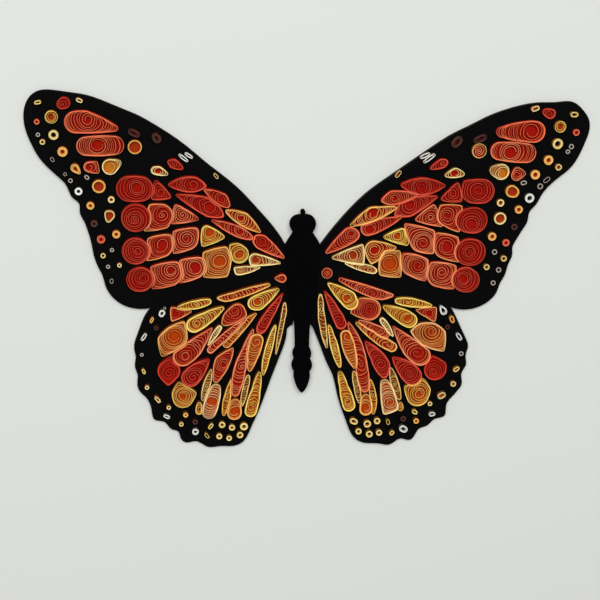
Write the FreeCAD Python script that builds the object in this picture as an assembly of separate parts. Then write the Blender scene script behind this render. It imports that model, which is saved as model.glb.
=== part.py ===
"""A quilled paper butterfly: a flat black board with a raised body and paper coils glued on its face.

Millimetres. It lies on its back: X runs along the wingspan, Y toward the head, Z out of the face.
The origin is on the back face of the board, on the middle line between the wings.
"""
import math
import os

import FreeCAD
import Part

BOARD_THICKNESS = 3.0
BODY_THICKNESS = 3.0
STRIP_WIDTH = 3.2
COIL_WALL = 0.3
SLIM_COIL_WALL = 0.4
GAP_BETWEEN_COILS = 0.3
LEAST_GAP_BETWEEN_TURNS = 0.16
MOST_TURNS = 2
LEAST_POINTS_ROUND_A_COIL = 24
COIL_POINT_STEP = 2.3
POINTS_ROUND_A_RING = 12
SLIM_HOLE_SHARE = 0.62
RING_HOLE_SHARE = 0.45
SAMPLE_STEP = 0.45
BODY_TURN_DEGREES = 1.65
BODY_SHIFT = -1.83
BOARD_SHIFT = (0.4, -1.0)

LEFT_FRONT_WING_EDGE = [
    (13, 23.4), (20, 33.8), (30, 45), (40, 55.5), (50, 64), (60, 71.5), (70, 79.8), (80, 87.2), (90, 93.4),
    (100, 98.9), (110, 103), (120, 107), (130, 110.2), (140, 111.6), (150, 112.7), (156, 112.2),
    (161, 109.2), (164, 104), (165, 97), (164, 90), (161, 82), (157, 74.5), (152, 68.5), (145.5, 62.5),
    (141.5, 58), (140, 54.5), (137.8, 50.6), (134.4, 47.6), (133.9, 42), (131.6, 37), (129.6, 31.6),
    (127.9, 26), (126.8, 20), (125.6, 14.6), (123.6, 9.4), (121, 4), (119.6, -1.4), (116.5, -7.6),
    (110, -13.4), (102, -16.1), (92, -15.6),
]
LEFT_REAR_WING_EDGE = [
    (92, -15.6), (95.6, -20), (98.6, -27), (101, -34), (102.5, -41), (101.5, -47), (102, -52.5),
    (100.4, -58), (100.5, -64.6), (98.6, -69.2), (95.6, -72.2), (92.6, -77.6), (91.7, -82.4), (90, -87),
    (84, -88.6), (79.6, -93.4), (75.6, -94.9), (74, -99.4), (70.4, -102.3), (65, -101.5), (60.6, -103.4),
    (57, -105.4), (50, -105), (42, -105), (36.4, -103), (33, -98.6), (30.6, -92.6), (27, -84),
    (23.8, -75), (20, -63), (16.6, -53), (13.2, -43.4), (11, -35.6), (10.4, -29),
]
LEFT_SLIT = [(10.4, -29), (9, -27.4), (7.1, -26.3)]
LEFT_SLIT_SIDE = [(7.1, -26.3), (6.6, -24), (6.2, -21.8)]
RIGHT_FRONT_WING_EDGE = [
    (7.8, 23.2), (16, 34.6), (25, 45.5), (35, 55.6), (45, 63.4), (55, 70.6), (65, 77.8), (75, 85), (85, 91.5),
    (95, 96.6), (105, 101.9), (115, 106), (125, 109), (136, 110.9), (147, 111.3), (157, 111.5),
    (163, 107), (167, 101.5), (167.9, 96), (166.2, 88.6), (163, 80), (158.6, 72.6), (151.5, 66.2),
    (145, 60), (141.4, 54.6), (138.4, 48.9), (135.2, 45), (134.4, 39.2), (131.4, 33.4), (128.6, 28),
    (126.3, 22.6), (126.6, 18.2), (124.6, 12.4), (122.8, 5), (120.3, 0), (118.6, -5.6), (114, -11.4),
    (107, -15.4), (99.6, -16.8), (90.5, -15.2),
]
RIGHT_REAR_WING_EDGE = [
    (90.5, -15.2), (94, -21), (97.6, -28.2), (101, -34.6), (103.1, -41), (102, -46.6), (102.7, -52.4),
    (100.2, -58.2), (100.8, -65.4), (98.4, -69.8), (95.4, -73.6), (92, -78.8), (91, -86.6),
    (85, -88.6), (80.4, -92.9), (75.4, -95), (72.6, -99.8), (70, -102.4), (64, -101.4), (57.6, -105.2),
    (50, -104.6), (42, -104.2), (35.4, -101.4), (31.6, -96.4), (28.6, -89), (25.4, -81), (22, -70),
    (18.6, -58), (15, -51), (11.6, -42.6), (8.2, -34.4), (5.4, -28),
]
RIGHT_SLIT = [(5.4, -28), (4.8, -27), (4.1, -26.4)]
RIGHT_SLIT_SIDE = [(4.1, -26.4), (3.8, -25), (3.6, -23.6)]

BODY_STUB = [(0, 44.7), (1, 44.3), (1.35, 43.2), (1.25, 41.4)]
BODY_HEAD = [(1.25, 41.4), (3.2, 41.4), (5.6, 40.4), (7.3, 38.3), (7.8, 35.8), (7.2, 33.2), (5.9, 30.8)]
BODY_SHOULDER = [(5.9, 30.8), (7.2, 28.6), (9, 25.9), (10.4, 23)]
BODY_THORAX = [(10.4, 23), (10, 18), (9.6, 12.5), (9, 3), (8, -7.5), (6.6, -16), (5, -22.5)]
BODY_ABDOMEN = [(5, -22.5), (4.7, -27), (4.4, -34), (4.3, -41.2)]
BODY_FIRST_BUMP = [(4.3, -41.2), (5.3, -42.8), (5.7, -45), (4.7, -48.4)]
BODY_SECOND_BUMP = [(4.7, -48.4), (6, -50.8), (6.2, -53.2), (4.7, -56.4)]
BODY_TAIL = [(4.7, -56.4), (4.9, -60), (3.9, -64.2), (2.2, -68), (0, -70.3)]
HEAD_TAB = [(4.9, 31), (6.4, 33.6), (6.9, 35.8), (5.2, 39), (0, 40.2)]
TAIL_TAB = [(3.9, -26), (3.5, -34), (3.4, -42), (3.8, -50), (3.8, -58), (2.6, -64.5), (0, -68.8)]


def coil(eye, *circles):
    """A wound strip: its open eye, and the circles that its outline is stretched round."""
    return {"eye": eye, "circles": circles}


def ring(*circles):
    """A tightly wound small ring, stretched round one circle or more."""
    return {"circles": circles}


def left_forewing():
    """Coils of the left front wing by cell, x counted outward from the middle line."""
    return {
        "tip": [
            coil((128.3, 95.8, 2.0), (135.3, 94.2, 6.5), (130, 94.6, 6.4), (113, 91, 1.9)),
            coil((122.8, 81, 3.0), (129.5, 80.5, 5.6), (113.5, 81.2, 5.6)),
        ],
        "row_1": [
            coil((100.8, 56.5, 3.4), (105, 56, 7.6), (98.6, 56, 7.5)),
            coil((86.8, 54.2, 1.8), (82, 51.6, 1.3), (89.5, 60, 1.2), (91, 51, 1.5), (87, 54, 3.2)),
        ],
        "row_2": [
            coil((102, 37.8, 0.8), (101.3, 38.9, 8.5)),
            coil((85.7, 40.5, 0.8), (86.5, 40.5, 6.9), (93, 46.3, 0.8), (96, 31.8, 0.9),
                 (84.5, 35.5, 3)),
            coil((74, 41, 0.9), (65.5, 38.5, 1.0), (78, 46, 1.2), (80, 36.2, 1.0),
                 (75, 41.5, 4)),
        ],
        "row_3": [
            coil((100, 19, 1.6), (101.3, 18.9, 8.1)),
            coil((86, 22.5, 3.0), (86.3, 22, 6.9), (81.5, 27.7, 1.5), (93.5, 26, 1.0),
                 (94.5, 13.9, 0.9)),
            coil((71.5, 26.7, 1.3), (71.3, 26.3, 6.8), (66.5, 31.3, 2.2), (79, 30.6, 0.8),
                 (78.7, 18.3, 1.0)),
            coil((57.8, 30.3, 2.9), (50.3, 27.8, 1.3), (59.8, 31.5, 3.2), (61.8, 22.9, 1.2)),
        ],
        "row_4": [
            coil((96.8, 2.4, 1.2), (98.4, 1.7, 7.6), (99.3, 1.5, 7.4)),
            coil((80.5, 7, 2.6), (81.5, 5, 7.6), (92, 9, 0.8), (91, -3.4, 0.8), (77, 11.3, 1.5)),
            coil((66.3, 9.3, 3.9), (67, 8.7, 6.8), (75, 13, 0.8), (75, 0.2, 0.8),
                 (63, 14.3, 1.2)),
            coil((52, 13, 5.0), (52, 13.2, 7.3), (48.6, 20.6, 1.5), (61, 17.8, 1.0), (60.6, 3.8, 0.9),
                 (48, 4.6, 1.4)),
            coil((40, 17, 3.1), (40.2, 17.3, 5.6), (41.5, 20.8, 3.3), (45.6, 22.6, 0.8)),
            coil((29.8, 14, 2.0), (16, 12.1, 0.7), (31, 14.4, 3.6), (33, 11, 0.8)),
            coil((39.3, 7.9, 0.9), (28, 9.3, 0.6), (42.6, 8.6, 0.9), (41, 6.2, 1.8),
                 (37, 6.5, 1.6)),
        ],
        "leading_edge": [
            coil((68, 58.8, 1.8), (68, 59, 4.8), (74, 59, 4.3), (82, 58.6, 0.8), (61.7, 58.2, 1.5)),
            coil((51.3, 50.3, 2.2), (51.3, 50.3, 4.0), (61.5, 56, 0.8), (48, 47, 1.9)),
            coil((39.5, 39.5, 2.0), (28.6, 31.2, 0.9), (38.5, 38.7, 4.2), (48, 43.2, 1.2)),
            coil((40, 31.5, 1.5), (33.5, 27.4, 1.6), (41, 31, 3.6), (56.5, 37.6, 0.8)),
            coil((58.5, 45.8, 4.0), (58, 45, 5.6), (60, 46.5, 5.3), (77.5, 52.6, 0.8),
                 (51.2, 40.8, 1.6)),
            coil((26.8, 25.3, 2.2), (13.9, 15.5, 0.9), (27.2, 24.7, 4.6), (29, 25.8, 3.8)),
        ],
    }


def right_forewing():
    """Coils of the right front wing by cell, x counted outward from the middle line."""
    return {
        "tip": [
            coil((132, 93.6, 4.0), (133.7, 93.1, 6.4), (129, 93.2, 6.2), (113.5, 92.6, 3)),
            coil((120, 80.8, 4.0), (113.1, 81.3, 5.3), (129.8, 80.2, 5.7)),
        ],
        "row_1": [
            coil((101.8, 57.3, 2.0), (104.5, 56.8, 7.3), (99, 56.8, 7.1), (93.4, 62.3, 0.8)),
            coil((86.5, 55.2, 1.6), (80.8, 52, 1.2), (89, 60.8, 1.1), (91.3, 51.5, 1.2),
                 (86.5, 55, 3.4)),
        ],
        "row_2": [
            coil((99.5, 37, 3.6), (100.9, 39, 7.9), (97.2, 39, 7.4)),
            coil((84, 42, 1.8), (84.8, 41.7, 6.5), (80.3, 47.1, 1.2), (92, 47.3, 0.8),
                 (91.5, 32.8, 0.9)),
            coil((74, 40.5, 1.2), (65.7, 39.3, 1.0), (75.3, 47.4, 1.2), (74.5, 40.3, 3.7),
                 (81, 35.8, 0.8)),
        ],
        "row_3": [
            coil((99.2, 19.3, 1.0), (101, 19.2, 8.2), (98.7, 19.5, 8.2)),
            coil((85, 22.4, 4.0), (84.5, 22.5, 7.2), (78.8, 30, 1.2), (91, 28, 0.8),
                 (93, 14, 0.8)),
            coil((70.3, 24.8, 1.4), (69.5, 26.3, 7.2), (59.2, 35.8, 1.0), (63, 34, 1.8),
                 (76, 32, 1.0), (76.5, 19, 0.8)),
            coil((54.5, 29.4, 2.2), (47, 28.3, 0.9), (57.2, 31, 2.8), (60.3, 24.4, 1.1)),
        ],
        "row_4": [
            coil((96.5, 2.5, 2.8), (97.8, 2.2, 7.8), (99.5, 1.5, 7.3)),
            coil((83, 6.8, 1.3), (81.8, 5.3, 7.8), (76.5, 12, 1.0), (91, 10.3, 0.8),
                 (90.5, -3.1, 0.8)),
            coil((68, 10.9, 1.6), (64.7, 11.3, 6.8), (67, 10.5, 6.3), (73.5, 14, 0.8),
                 (72.8, 1.9, 0.8), (58.8, 17, 1.4)),
            coil((50.4, 12, 4.3), (50.3, 11.9, 6.4), (48.5, 18.1, 1.8), (56, 19.2, 0.8),
                 (57.2, 4.3, 0.8), (46, 6, 1.5)),
            coil((40.8, 20.3, 2.6), (40.5, 20.5, 5.5), (39.6, 12.4, 0.8), (53.5, 22, 0.6)),
            coil((28, 16.8, 2.3), (16.3, 15.5, 0.9), (28, 16.8, 3.7), (33.4, 23.2, 0.6),
                 (34.2, 12.2, 0.8)),
            coil((38.3, 8.4, 1.0), (24, 12, 0.6), (38, 8.6, 2.4), (41.3, 7.5, 1.8)),
        ],
        "leading_edge": [
            coil((67.5, 58.5, 1.6), (66.5, 59.5, 5.2), (72, 59.4, 4.6), (81, 60, 0.7), (56.2, 60, 1.4)),
            coil((51.5, 51.6, 1.6), (50.5, 52.2, 4.5), (65, 54.6, 0.8), (44.8, 50.7, 1.4)),
            coil((39, 42.8, 2.0), (26.2, 35.3, 0.7), (38.5, 42.3, 4.4), (43, 43.6, 3.2),
                 (52.5, 46.3, 0.7)),
            coil((37.5, 33.4, 2.5), (36.4, 33.6, 4.5), (43, 35.2, 3.4), (56, 40.6, 0.6)),
            coil((60.5, 47.8, 2.5), (60, 46.8, 6.0), (76.8, 53.2, 0.7), (53, 42.2, 1.2)),
            coil((26.3, 30.2, 1.8), (12.2, 18.8, 0.9), (25.8, 29.3, 5.0), (27.6, 29.5, 3.8)),
        ],
    }


def left_hindwing():
    """Coils of the left rear wing by cell, x counted outward from the middle line."""
    return {
        "front_edge": [
            coil((43.3, -8.6, 0.8), (22.3, -1.5, 1.2), (43, -8.6, 2.5), (48, -9.8, 2.3),
                 (52.3, -9.8, 0.9)),
        ],
        "front_cell": [
            coil((64.5, -13.8, 0.7), (58, -12, 1.9), (65, -13.8, 2.8), (70, -14.6, 2.3),
                 (76, -15.6, 0.8)),
            coil((77, -19.3, 2.0), (77, -19.2, 3.2), (80, -16, 0.7), (79.5, -23.6, 0.8),
                 (68.5, -18.1, 0.6)),
        ],
        "upper_cell": [
            coil((65, -25.6, 1.6), (49.5, -16, 1.1), (60, -22.8, 4.2), (66.5, -26.6, 4.8)),
            coil((78.2, -34, 3.2), (77.6, -34, 7.5), (72.8, -25, 1.0), (85.3, -35.6, 2.9),
                 (85, -45.2, 1.2)),
        ],
        "middle_cell": [
            coil((71.8, -45.8, 2.2), (55.6, -28.4, 0.5), (66.7, -42.2, 5.2), (73, -46.6, 6.1)),
            coil((81, -57, 1.2), (81.2, -55.5, 6.9), (80, -47.4, 1.2), (81.5, -63.5, 1.4)),
        ],
        "lower_cell": [
            coil((66.5, -59.5, 1.2), (57.3, -48.6, 0.8), (64, -55.3, 5.0), (68, -60, 5.9)),
            coil((72.3, -71.7, 2.4), (72.5, -73, 6.4), (75, -64.2, 1.4),
                 (65.5, -70, 1.2), (78, -70, 1.4)),
        ],
        "tail_cell": [
            coil((48.6, -51.2, 1.8), (43, -41.7, 0.8), (49, -50, 4.8), (51.3, -57, 3.5),
                 (52.6, -61.3, 2.0)),
            coil((55.2, -75.6, 3.0), (52.7, -67, 3.1), (55, -76, 4.7), (56.5, -82.4, 4.3)),
            coil((58, -65.5, 0.9), (55.7, -55, 0.6), (58.3, -65, 2.5), (60.4, -74, 1.2)),
            coil((62.5, -80.3, 1.1), (62.6, -77.2, 1.6), (62.6, -81.6, 2.4)),
        ],
        "orange_fan": [
            coil((28.4, -37.4, 1.9), (28.5, -36.3, 4.2), (31, -48, 3.2), (32.3, -55, 1.3)),
            coil((40.8, -82, 3.0), (41, -83, 4.6), (40.7, -77, 3.3)),
            coil((37.2, -53, 0.9), (30.8, -29.6, 0.7), (35.4, -43, 2.3), (38.6, -56, 3.9),
                 (40.7, -70, 2.5)),
            coil((34.8, -67, 0.7), (33.2, -59.6, 1.4), (34.6, -67, 1.9), (36.6, -78, 1.0)),
            coil((45.3, -72, 0.8), (42.8, -61, 0.8), (45.4, -72, 2.2), (46.9, -80, 1.9),
                 (47.5, -84, 1.0)),
        ],
        "body_cell": [
            coil((28.3, -12.1, 2.3), (16.8, -4.6, 1.2), (28.5, -12.5, 5.0), (30.5, -13, 4.2)),
            coil((42.2, -17.8, 1.5), (40.5, -17.7, 4.6), (45.3, -22.3, 4.3), (48, -25.2, 2.1),
                 (37.4, -20, 2.6)),
            coil((51.6, -29, 0.9), (51.1, -28.3, 1.6), (53.6, -31.5, 1.6), (57.8, -39.2, 0.5)),
            coil((52, -37.5, 0.8), (36, -22.6, 0.8), (51.8, -37.2, 2.1), (56.3, -42.4, 2.3)),
            coil((39.5, -29.5, 0.8), (29.6, -19.8, 0.8), (37.3, -26.5, 2.4),
                 (46.6, -38.4, 2.7)),
        ],
        "inner_edge": [
            coil((24, -24.5, 1.5), (13.8, -7.2, 0.6), (22.5, -22, 3.1), (25.8, -28.5, 3.2),
                 (26.4, -29.8, 2.7)),
            coil((12.5, -19.5, 0.6), (12.2, -13, 0.8), (12.3, -18, 1.6), (12.9, -22, 1.5),
                 (16.6, -45, 0.5)),
            coil((20, -40, 0.8), (17.4, -27.1, 0.7), (18.6, -31, 1.6), (22.6, -48.5, 2.2),
                 (24, -58, 0.8)),
            coil((30.6, -80, 1.1), (26.3, -57.6, 1.2), (28, -68, 2.8), (31, -82, 3.8)),
        ],
    }


def right_hindwing():
    """Coils of the right rear wing by cell, x counted outward from the middle line."""
    return {
        "front_edge": [
            coil((41, -6.9, 0.8), (21.3, 1.8, 1.2), (40, -6.4, 2.6), (47, -8.3, 2.4),
                 (53.3, -7.9, 0.9)),
        ],
        "front_cell": [
            coil((63, -12.1, 0.7), (57, -11.4, 1.8), (63, -12.1, 2.7), (69, -13, 2.4),
                 (77.6, -14.3, 0.7)),
            coil((77, -19, 2.2), (77, -19.1, 3.2), (80.6, -16, 0.6), (80.3, -23.8, 0.7),
                 (69.3, -17.3, 0.6)),
        ],
        "upper_cell": [
            coil((63.5, -22.3, 2.5), (49, -15.3, 1.0), (60, -20.8, 4.5), (65, -23.8, 4.6)),
            coil((79, -31, 1.2), (78, -33, 7.8), (85, -32.2, 2.9), (86.5, -42.3, 1.4),
                 (71.8, -27.4, 1.6), (66.8, -30.8, 0.8)),
        ],
        "middle_cell": [
            coil((71.4, -45.2, 1.2), (55.2, -28, 0.5), (67, -42, 5.5), (73.3, -46.8, 6.1)),
            coil((82, -57.3, 1.2), (83, -55.5, 6.9), (80.8, -47.6, 1.0), (87.6, -52.5, 2.0)),
        ],
        "lower_cell": [
            coil((67, -58, 1.0), (56.3, -48.2, 0.8), (65, -55.5, 5.6), (68.8, -59.8, 5.9)),
            coil((73.8, -71.3, 2.0), (73, -72.5, 7.0), (75.5, -62.8, 1.2),
                 (65.2, -67.4, 1.0), (79, -69, 1.8)),
        ],
        "tail_cell": [
            coil((48.7, -52, 1.5), (38.6, -37.7, 0.7), (46, -47, 4.2), (49.5, -53, 4.9),
                 (51, -58.3, 2.6)),
            coil((55.5, -77, 1.3), (51.7, -64.6, 2.7), (55.2, -76, 4.6), (53, -83.3, 1.6),
                 (59, -80.8, 1.9)),
            coil((57.9, -65, 0.9), (55, -55, 0.8), (58, -64.6, 2.5), (61.3, -74.2, 1.2)),
            coil((62.6, -79.9, 0.9), (62.3, -78.4, 1.4), (62.5, -80.8, 1.8)),
        ],
        "orange_fan": [
            coil((26.4, -34, 1.6), (25.8, -33.2, 3.2), (29, -44, 3.6), (32.3, -53.3, 1.2)),
            coil((40.5, -80.3, 2.5), (40.7, -81.5, 3.9), (40.3, -74, 2.6)),
            coil((35.6, -51.5, 0.9), (27.4, -25.6, 0.7), (33.3, -38, 2.6), (37, -55, 3.7),
                 (39.4, -67.6, 2.6)),
            coil((34.3, -66, 0.7), (32.2, -57.4, 1.1), (34.2, -66, 1.9), (36.4, -76.5, 0.9)),
            coil((44.6, -72, 0.8), (42.5, -62.5, 0.8), (44.7, -72, 2.0), (45.7, -79.6, 1.5),
                 (45.4, -84, 0.8)),
        ],
        "body_cell": [
            coil((25.8, -9.4, 2.4), (14.2, -0.9, 0.8), (26.3, -10, 5.0), (28, -12.5, 4.4)),
            coil((39.8, -17, 1.6), (39.8, -16.8, 6.8), (34.6, -12, 2.4), (28.8, -18.6, 0.7)),
            coil((48.5, -24.4, 0.9), (48, -23.7, 1.6), (51, -27.5, 1.6), (55, -33.6, 0.5)),
            coil((44.5, -29, 0.9), (34, -24.2, 0.7), (43, -28.3, 2.2), (50.6, -32.5, 2.5)),
            coil((52.6, -39.4, 0.9), (32.4, -25.6, 0.7), (44, -35.3, 1.9),
                 (55, -40.9, 3.0)),
        ],
        "inner_edge": [
            coil((22.2, -24.5, 1.5), (12, -5.9, 0.6), (19, -18, 2.5), (22.7, -26, 3.3)),
            coil((10, -17, 0.6), (9.3, -8, 0.9), (10, -17, 1.7), (10.9, -28, 1.2),
                 (14.4, -40.6, 0.6)),
            coil((19.5, -42, 0.8), (15.4, -27.3, 0.7), (17, -33, 1.5), (20.5, -45, 2.2),
                 (23, -53, 0.9)),
            coil((29.2, -76.5, 1.3), (23.7, -58.2, 1.5), (26, -66, 2.5), (30, -78.8, 3.8)),
        ],
    }


def left_rings():
    """Small rings of the left wings by colour; two circles make an oval or a drop."""
    return {
        "white": [
            ring((134, 54.2, 2.3)),
            ring((69.3, 75, 0.9), (72.5, 77, 0.9)),
            ring((71.9, 72.9, 0.9), (76, 76.1, 0.9)),
            ring((85.5, -18.9, 1.9), (86, -19.9, 1.7)),
            ring((95.4, -32.6, 1.0), (97.2, -35.5, 1.0)),
            ring((81.4, -85.4, 1.2), (83.3, -84.5, 1.1)),
            ring((64.7, -95.1, 2.1)),
        ],
        "grey": [
            ring((156.4, 86.7, 1.3)),
            ring((148.3, 72.1, 1.0), (148.9, 73, 1.0)),
            ring((128.9, 62.2, 1.2), (129.5, 62.8, 1.2)),
            ring((141.5, 64.1, 1.1)),
            ring((138.5, 60.4, 1.4)),
            ring((115, 19.5, 1.3)),
            ring((117.3, 9.4, 1.3)),
            ring((115.3, 1.0, 1.1), (115.3, 0.1, 1.1)),
            ring((84, -16, 0.9)),
            ring((97.5, -45.2, 1.2)),
        ],
        "pale_yellow": [
            ring((132.3, 106.2, 1.2), (133.8, 106.9, 1.2)),
            ring((154, 82.5, 1.6)),
            ring((115.3, 49.5, 2.0)),
            ring((116.1, 40.3, 2.9), (117, 37.4, 1.6), (117.2, 41, 2.2)),
            ring((110.7, 10.2, 1.4)),
            ring((88.3, 66.8, 2.8), (90.3, 67, 2.4), (83.6, 65, 1.0)),
            ring((54.2, 63.3, 0.9), (55.5, 64.9, 0.9)),
            ring((116, 68.7, 4.6), (111.3, 71, 1.9)),
            ring((94.3, -66.1, 1.4)),
            ring((87, -75, 1.1), (88.9, -72.7, 1.0)),
            ring((81.1, -79.2, 1.4)),
        ],
        "yellow": [
            ring((155.4, 105.2, 1.2), (157.2, 104.8, 1.1)),
            ring((147.7, 86.7, 2.9)),
            ring((120.2, 16, 1.6)),
            ring((96, -56.6, 1.0), (96.8, -54.9, 0.9)),
            ring((73.4, -90.1, 1.5)),
            ring((54.7, -90.7, 1.1), (56, -92.5, 1.1)),
            ring((56.9, -98.8, 0.9), (58.3, -96.9, 0.9)),
            ring((48.4, -90.7, 2.1)),
            ring((50, -98.3, 1.9)),
            ring((42.3, -92.6, 2.0)),
            ring((43.9, -99.6, 1.8)),
            ring((34.9, -92, 2.5)),
            ring((37.2, -97.6, 2.1)),
        ],
        "orange": [
            ring((148.8, 96.9, 3.7)),
            ring((142.8, 77.1, 2.9)),
            ring((136, 67.8, 2.5), (133.4, 65, 0.9)),
            ring((122.4, 57.2, 3.9)),
            ring((127.3, 45.8, 2.3)),
            ring((112.5, 28.9, 2.4)),
            ring((101.8, 80.4, 4.1)),
            ring((91.2, -22.5, 0.9), (92.1, -24.5, 0.9)),
            ring((70.8, -84.1, 1.6)),
        ],
        "red": [
            ring((141.5, 105, 3.4), (142.9, 104.2, 2.9)),
            ring((157, 94, 1.6)),
            ring((123.3, 66, 1.4), (124.1, 70.6, 1.3), (128, 68.5, 3.1)),
            ring((121.3, 25.8, 2.4)),
            ring((79.5, 71, 2.9), (75, 68.6, 1.2), (81.9, 72, 1.3)),
            ring((14.3, 2.5, 2.7), (18.2, 2.5, 0.7)),
        ],
        "brown": [
            ring((125.2, 35.2, 2.1)),
            ring((89, 85.2, 2.4), (90.1, 86.6, 2.1)),
            ring((100.5, 87.5, 1.7), (103.8, 89.2, 1.9)),
            ring((64.9, -88.7, 1.7)),
            ring((89, -28.4, 1.4)),
        ],
    }


def right_rings():
    """Small rings of the right wings by colour; two circles make an oval or a drop."""
    return {
        "white": [
            ring((134, 53, 2.7)),
            ring((66.4, 76.9, 0.9), (70.4, 78.9, 0.8)),
            ring((68.4, 74.3, 0.8), (73.6, 78.3, 0.8)),
            ring((85.9, -18.2, 2.0), (84.1, -15.2, 0.8)),
            ring((95.7, -33, 1.0), (97.6, -35.7, 0.9)),
            ring((82.2, -85.2, 1.3), (83.5, -85, 1.2)),
            ring((64.6, -94.5, 2.0), (65.8, -95.2, 1.9)),
        ],
        "grey": [
            ring((157, 84.6, 1.4)),
            ring((155.1, 81.5, 1.2)),
            ring((142.7, 63.5, 1.0), (144.5, 65, 1.0)),
            ring((129, 62.2, 1.2), (130.2, 62.5, 1.1)),
            ring((139.9, 60.3, 1.6)),
            ring((114.9, 19.5, 1.5)),
            ring((118.3, 8.3, 1.5)),
            ring((115.5, 0.1, 1.4)),
            ring((98.7, -45.3, 1.3)),
        ],
        "pale_yellow": [
            ring((132, 106.4, 1.3), (134.2, 107.2, 1.2)),
            ring((150.3, 72, 1.8)),
            ring((116.3, 49.9, 2.1)),
            ring((116.8, 40.3, 3.6)),
            ring((87.3, 67.8, 2.9), (82.1, 66.2, 1.0), (91.4, 67.2, 1.4)),
            ring((52, 65.4, 0.8), (53.7, 67.7, 0.9)),
            ring((115.3, 68.8, 4.7), (111.2, 69.5, 2.9)),
            ring((95.1, -65.2, 1.6)),
            ring((87.5, -73.2, 1.8), (88.9, -72.4, 1.7)),
            ring((81.1, -78.2, 1.3)),
        ],
        "yellow": [
            ring((156.3, 103.7, 1.4), (158, 103.7, 1.4)),
            ring((148.5, 86.1, 3.0)),
            ring((121, 15.4, 1.7)),
            ring((110.7, 10, 1.7)),
            ring((95.7, -56, 1.2), (97.2, -55, 1.1)),
            ring((71.4, -83.3, 1.3), (72.3, -84, 1.1)),
            ring((54.9, -89.4, 0.9), (55.3, -90.8, 0.9)),
            ring((57.7, -97.8, 1.1), (58.3, -97, 1.1)),
            ring((48.2, -89.3, 1.9)),
            ring((49.8, -97.1, 1.8)),
            ring((42.1, -91.2, 2.2)),
            ring((43.7, -98, 2.0)),
            ring((32.9, -89.1, 1.8), (34.3, -89.8, 1.6)),
            ring((36.8, -96.1, 1.8)),
        ],
        "orange": [
            ring((149.2, 96.3, 3.3)),
            ring((143.7, 76.2, 2.7)),
            ring((136.3, 67.3, 2.7)),
            ring((122.6, 57.1, 3.6), (123.9, 56.5, 3.2)),
            ring((127.9, 45.9, 2.3)),
            ring((112.7, 29.1, 2.4)),
            ring((100.9, 81.2, 4.2)),
            ring((91, -22.2, 1.2), (91.9, -24.3, 1.1)),
            ring((73, -89.6, 1.6)),
        ],
        "red": [
            ring((139.6, 104.9, 2.0), (142.5, 103.9, 2.9), (143.9, 104.8, 1.6)),
            ring((159.3, 93.1, 1.8)),
            ring((124.8, 66.8, 3.2), (125, 69.4, 2.3), (128.9, 68, 1.3)),
            ring((121.6, 25.3, 2.0)),
            ring((78.8, 73.3, 2.8), (80.4, 73.9, 2.0), (72.6, 70.4, 0.8)),
            ring((12.8, 5.8, 3.1)),
        ],
        "brown": [
            ring((126, 35.2, 1.8)),
            ring((86, 85.3, 2.3), (88, 87.5, 2.2)),
            ring((98.6, 87.3, 1.6), (102.9, 89.3, 1.8)),
            ring((64.7, -88, 1.6)),
            ring((89, -28, 1.3)),
        ],
    }


def circle_points(x, y, radius, step):
    count = max(10, int(2 * math.pi * radius / step))
    angles = [2 * math.pi * index / count for index in range(count)]
    return [(x + radius * math.cos(a), y + radius * math.sin(a)) for a in angles]


def turn_side(a, b, c):
    return (b[0] - a[0]) * (c[1] - a[1]) - (b[1] - a[1]) * (c[0] - a[0])


def half_hull(points):
    chain = []
    for point in points:
        while len(chain) > 1 and turn_side(chain[-2], chain[-1], point) <= 0:
            chain.pop()
        chain.append(point)
    return chain[:-1]


def stretched_outline(circles):
    """Anticlockwise outline of a band pulled tight round the circles."""
    points = sorted(p for circle in circles for p in circle_points(*circle, SAMPLE_STEP))
    return half_hull(points) + half_hull(points[::-1])


def along(outline, count):
    """Points at even steps round a closed outline."""
    loop = outline + outline[:1]
    lengths = [math.dist(a, b) for a, b in zip(loop, loop[1:])]
    step = sum(lengths) / count
    points = []
    travelled = 0.0
    for start, end, length in zip(loop, loop[1:], lengths):
        while len(points) < count and len(points) * step <= travelled + length:
            share = (len(points) * step - travelled) / length
            points.append((start[0] + share * (end[0] - start[0]), start[1] + share * (end[1] - start[1])))
        travelled += length
    return points


def fine(outline):
    loop = outline + outline[:1]
    length = sum(math.dist(a, b) for a, b in zip(loop, loop[1:]))
    return along(outline, max(16, int(length / SAMPLE_STEP)))


def offset(outline, distance):
    """The closed outline moved outward by the distance, or inward if it is negative."""
    moved = []
    for before, point, after in zip(outline[-1:] + outline[:-1], outline, outline[1:] + outline[:1]):
        along_x, along_y = after[0] - before[0], after[1] - before[1]
        length = math.hypot(along_x, along_y)
        moved.append((point[0] + distance * along_y / length, point[1] - distance * along_x / length))
    return moved


def inside(outline, point):
    x, y = point
    hit = False
    for (ax, ay), (bx, by) in zip(outline, outline[1:] + outline[:1]):
        if (ay > y) != (by > y) and x < ax + (y - ay) * (bx - ax) / (by - ay):
            hit = not hit
    return hit


def longest_run(points, wanted):
    """The longest unbroken stretch of a closed outline whose points are wanted."""
    count = len(points)
    flags = [wanted(point) for point in points]
    if all(flags):
        return points
    best = []
    for start in range(count):
        if flags[start] and not flags[start - 1]:
            run = []
            while flags[(start + len(run)) % count]:
                run.append(points[(start + len(run)) % count])
            best = max(best, run, key=len)
    return best


def pressed_against(outline, neighbour):
    """The outline with its overlap with a neighbour, and a gap beside it, taken away."""
    edge = fine(offset(neighbour, GAP_BETWEEN_COILS))
    if not any(inside(edge, point) for point in outline):
        return outline
    kept = longest_run(outline, lambda point: not inside(edge, point))
    pressed = longest_run(edge, lambda point: inside(outline, point))
    return fine(kept + pressed[::-1])


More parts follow.
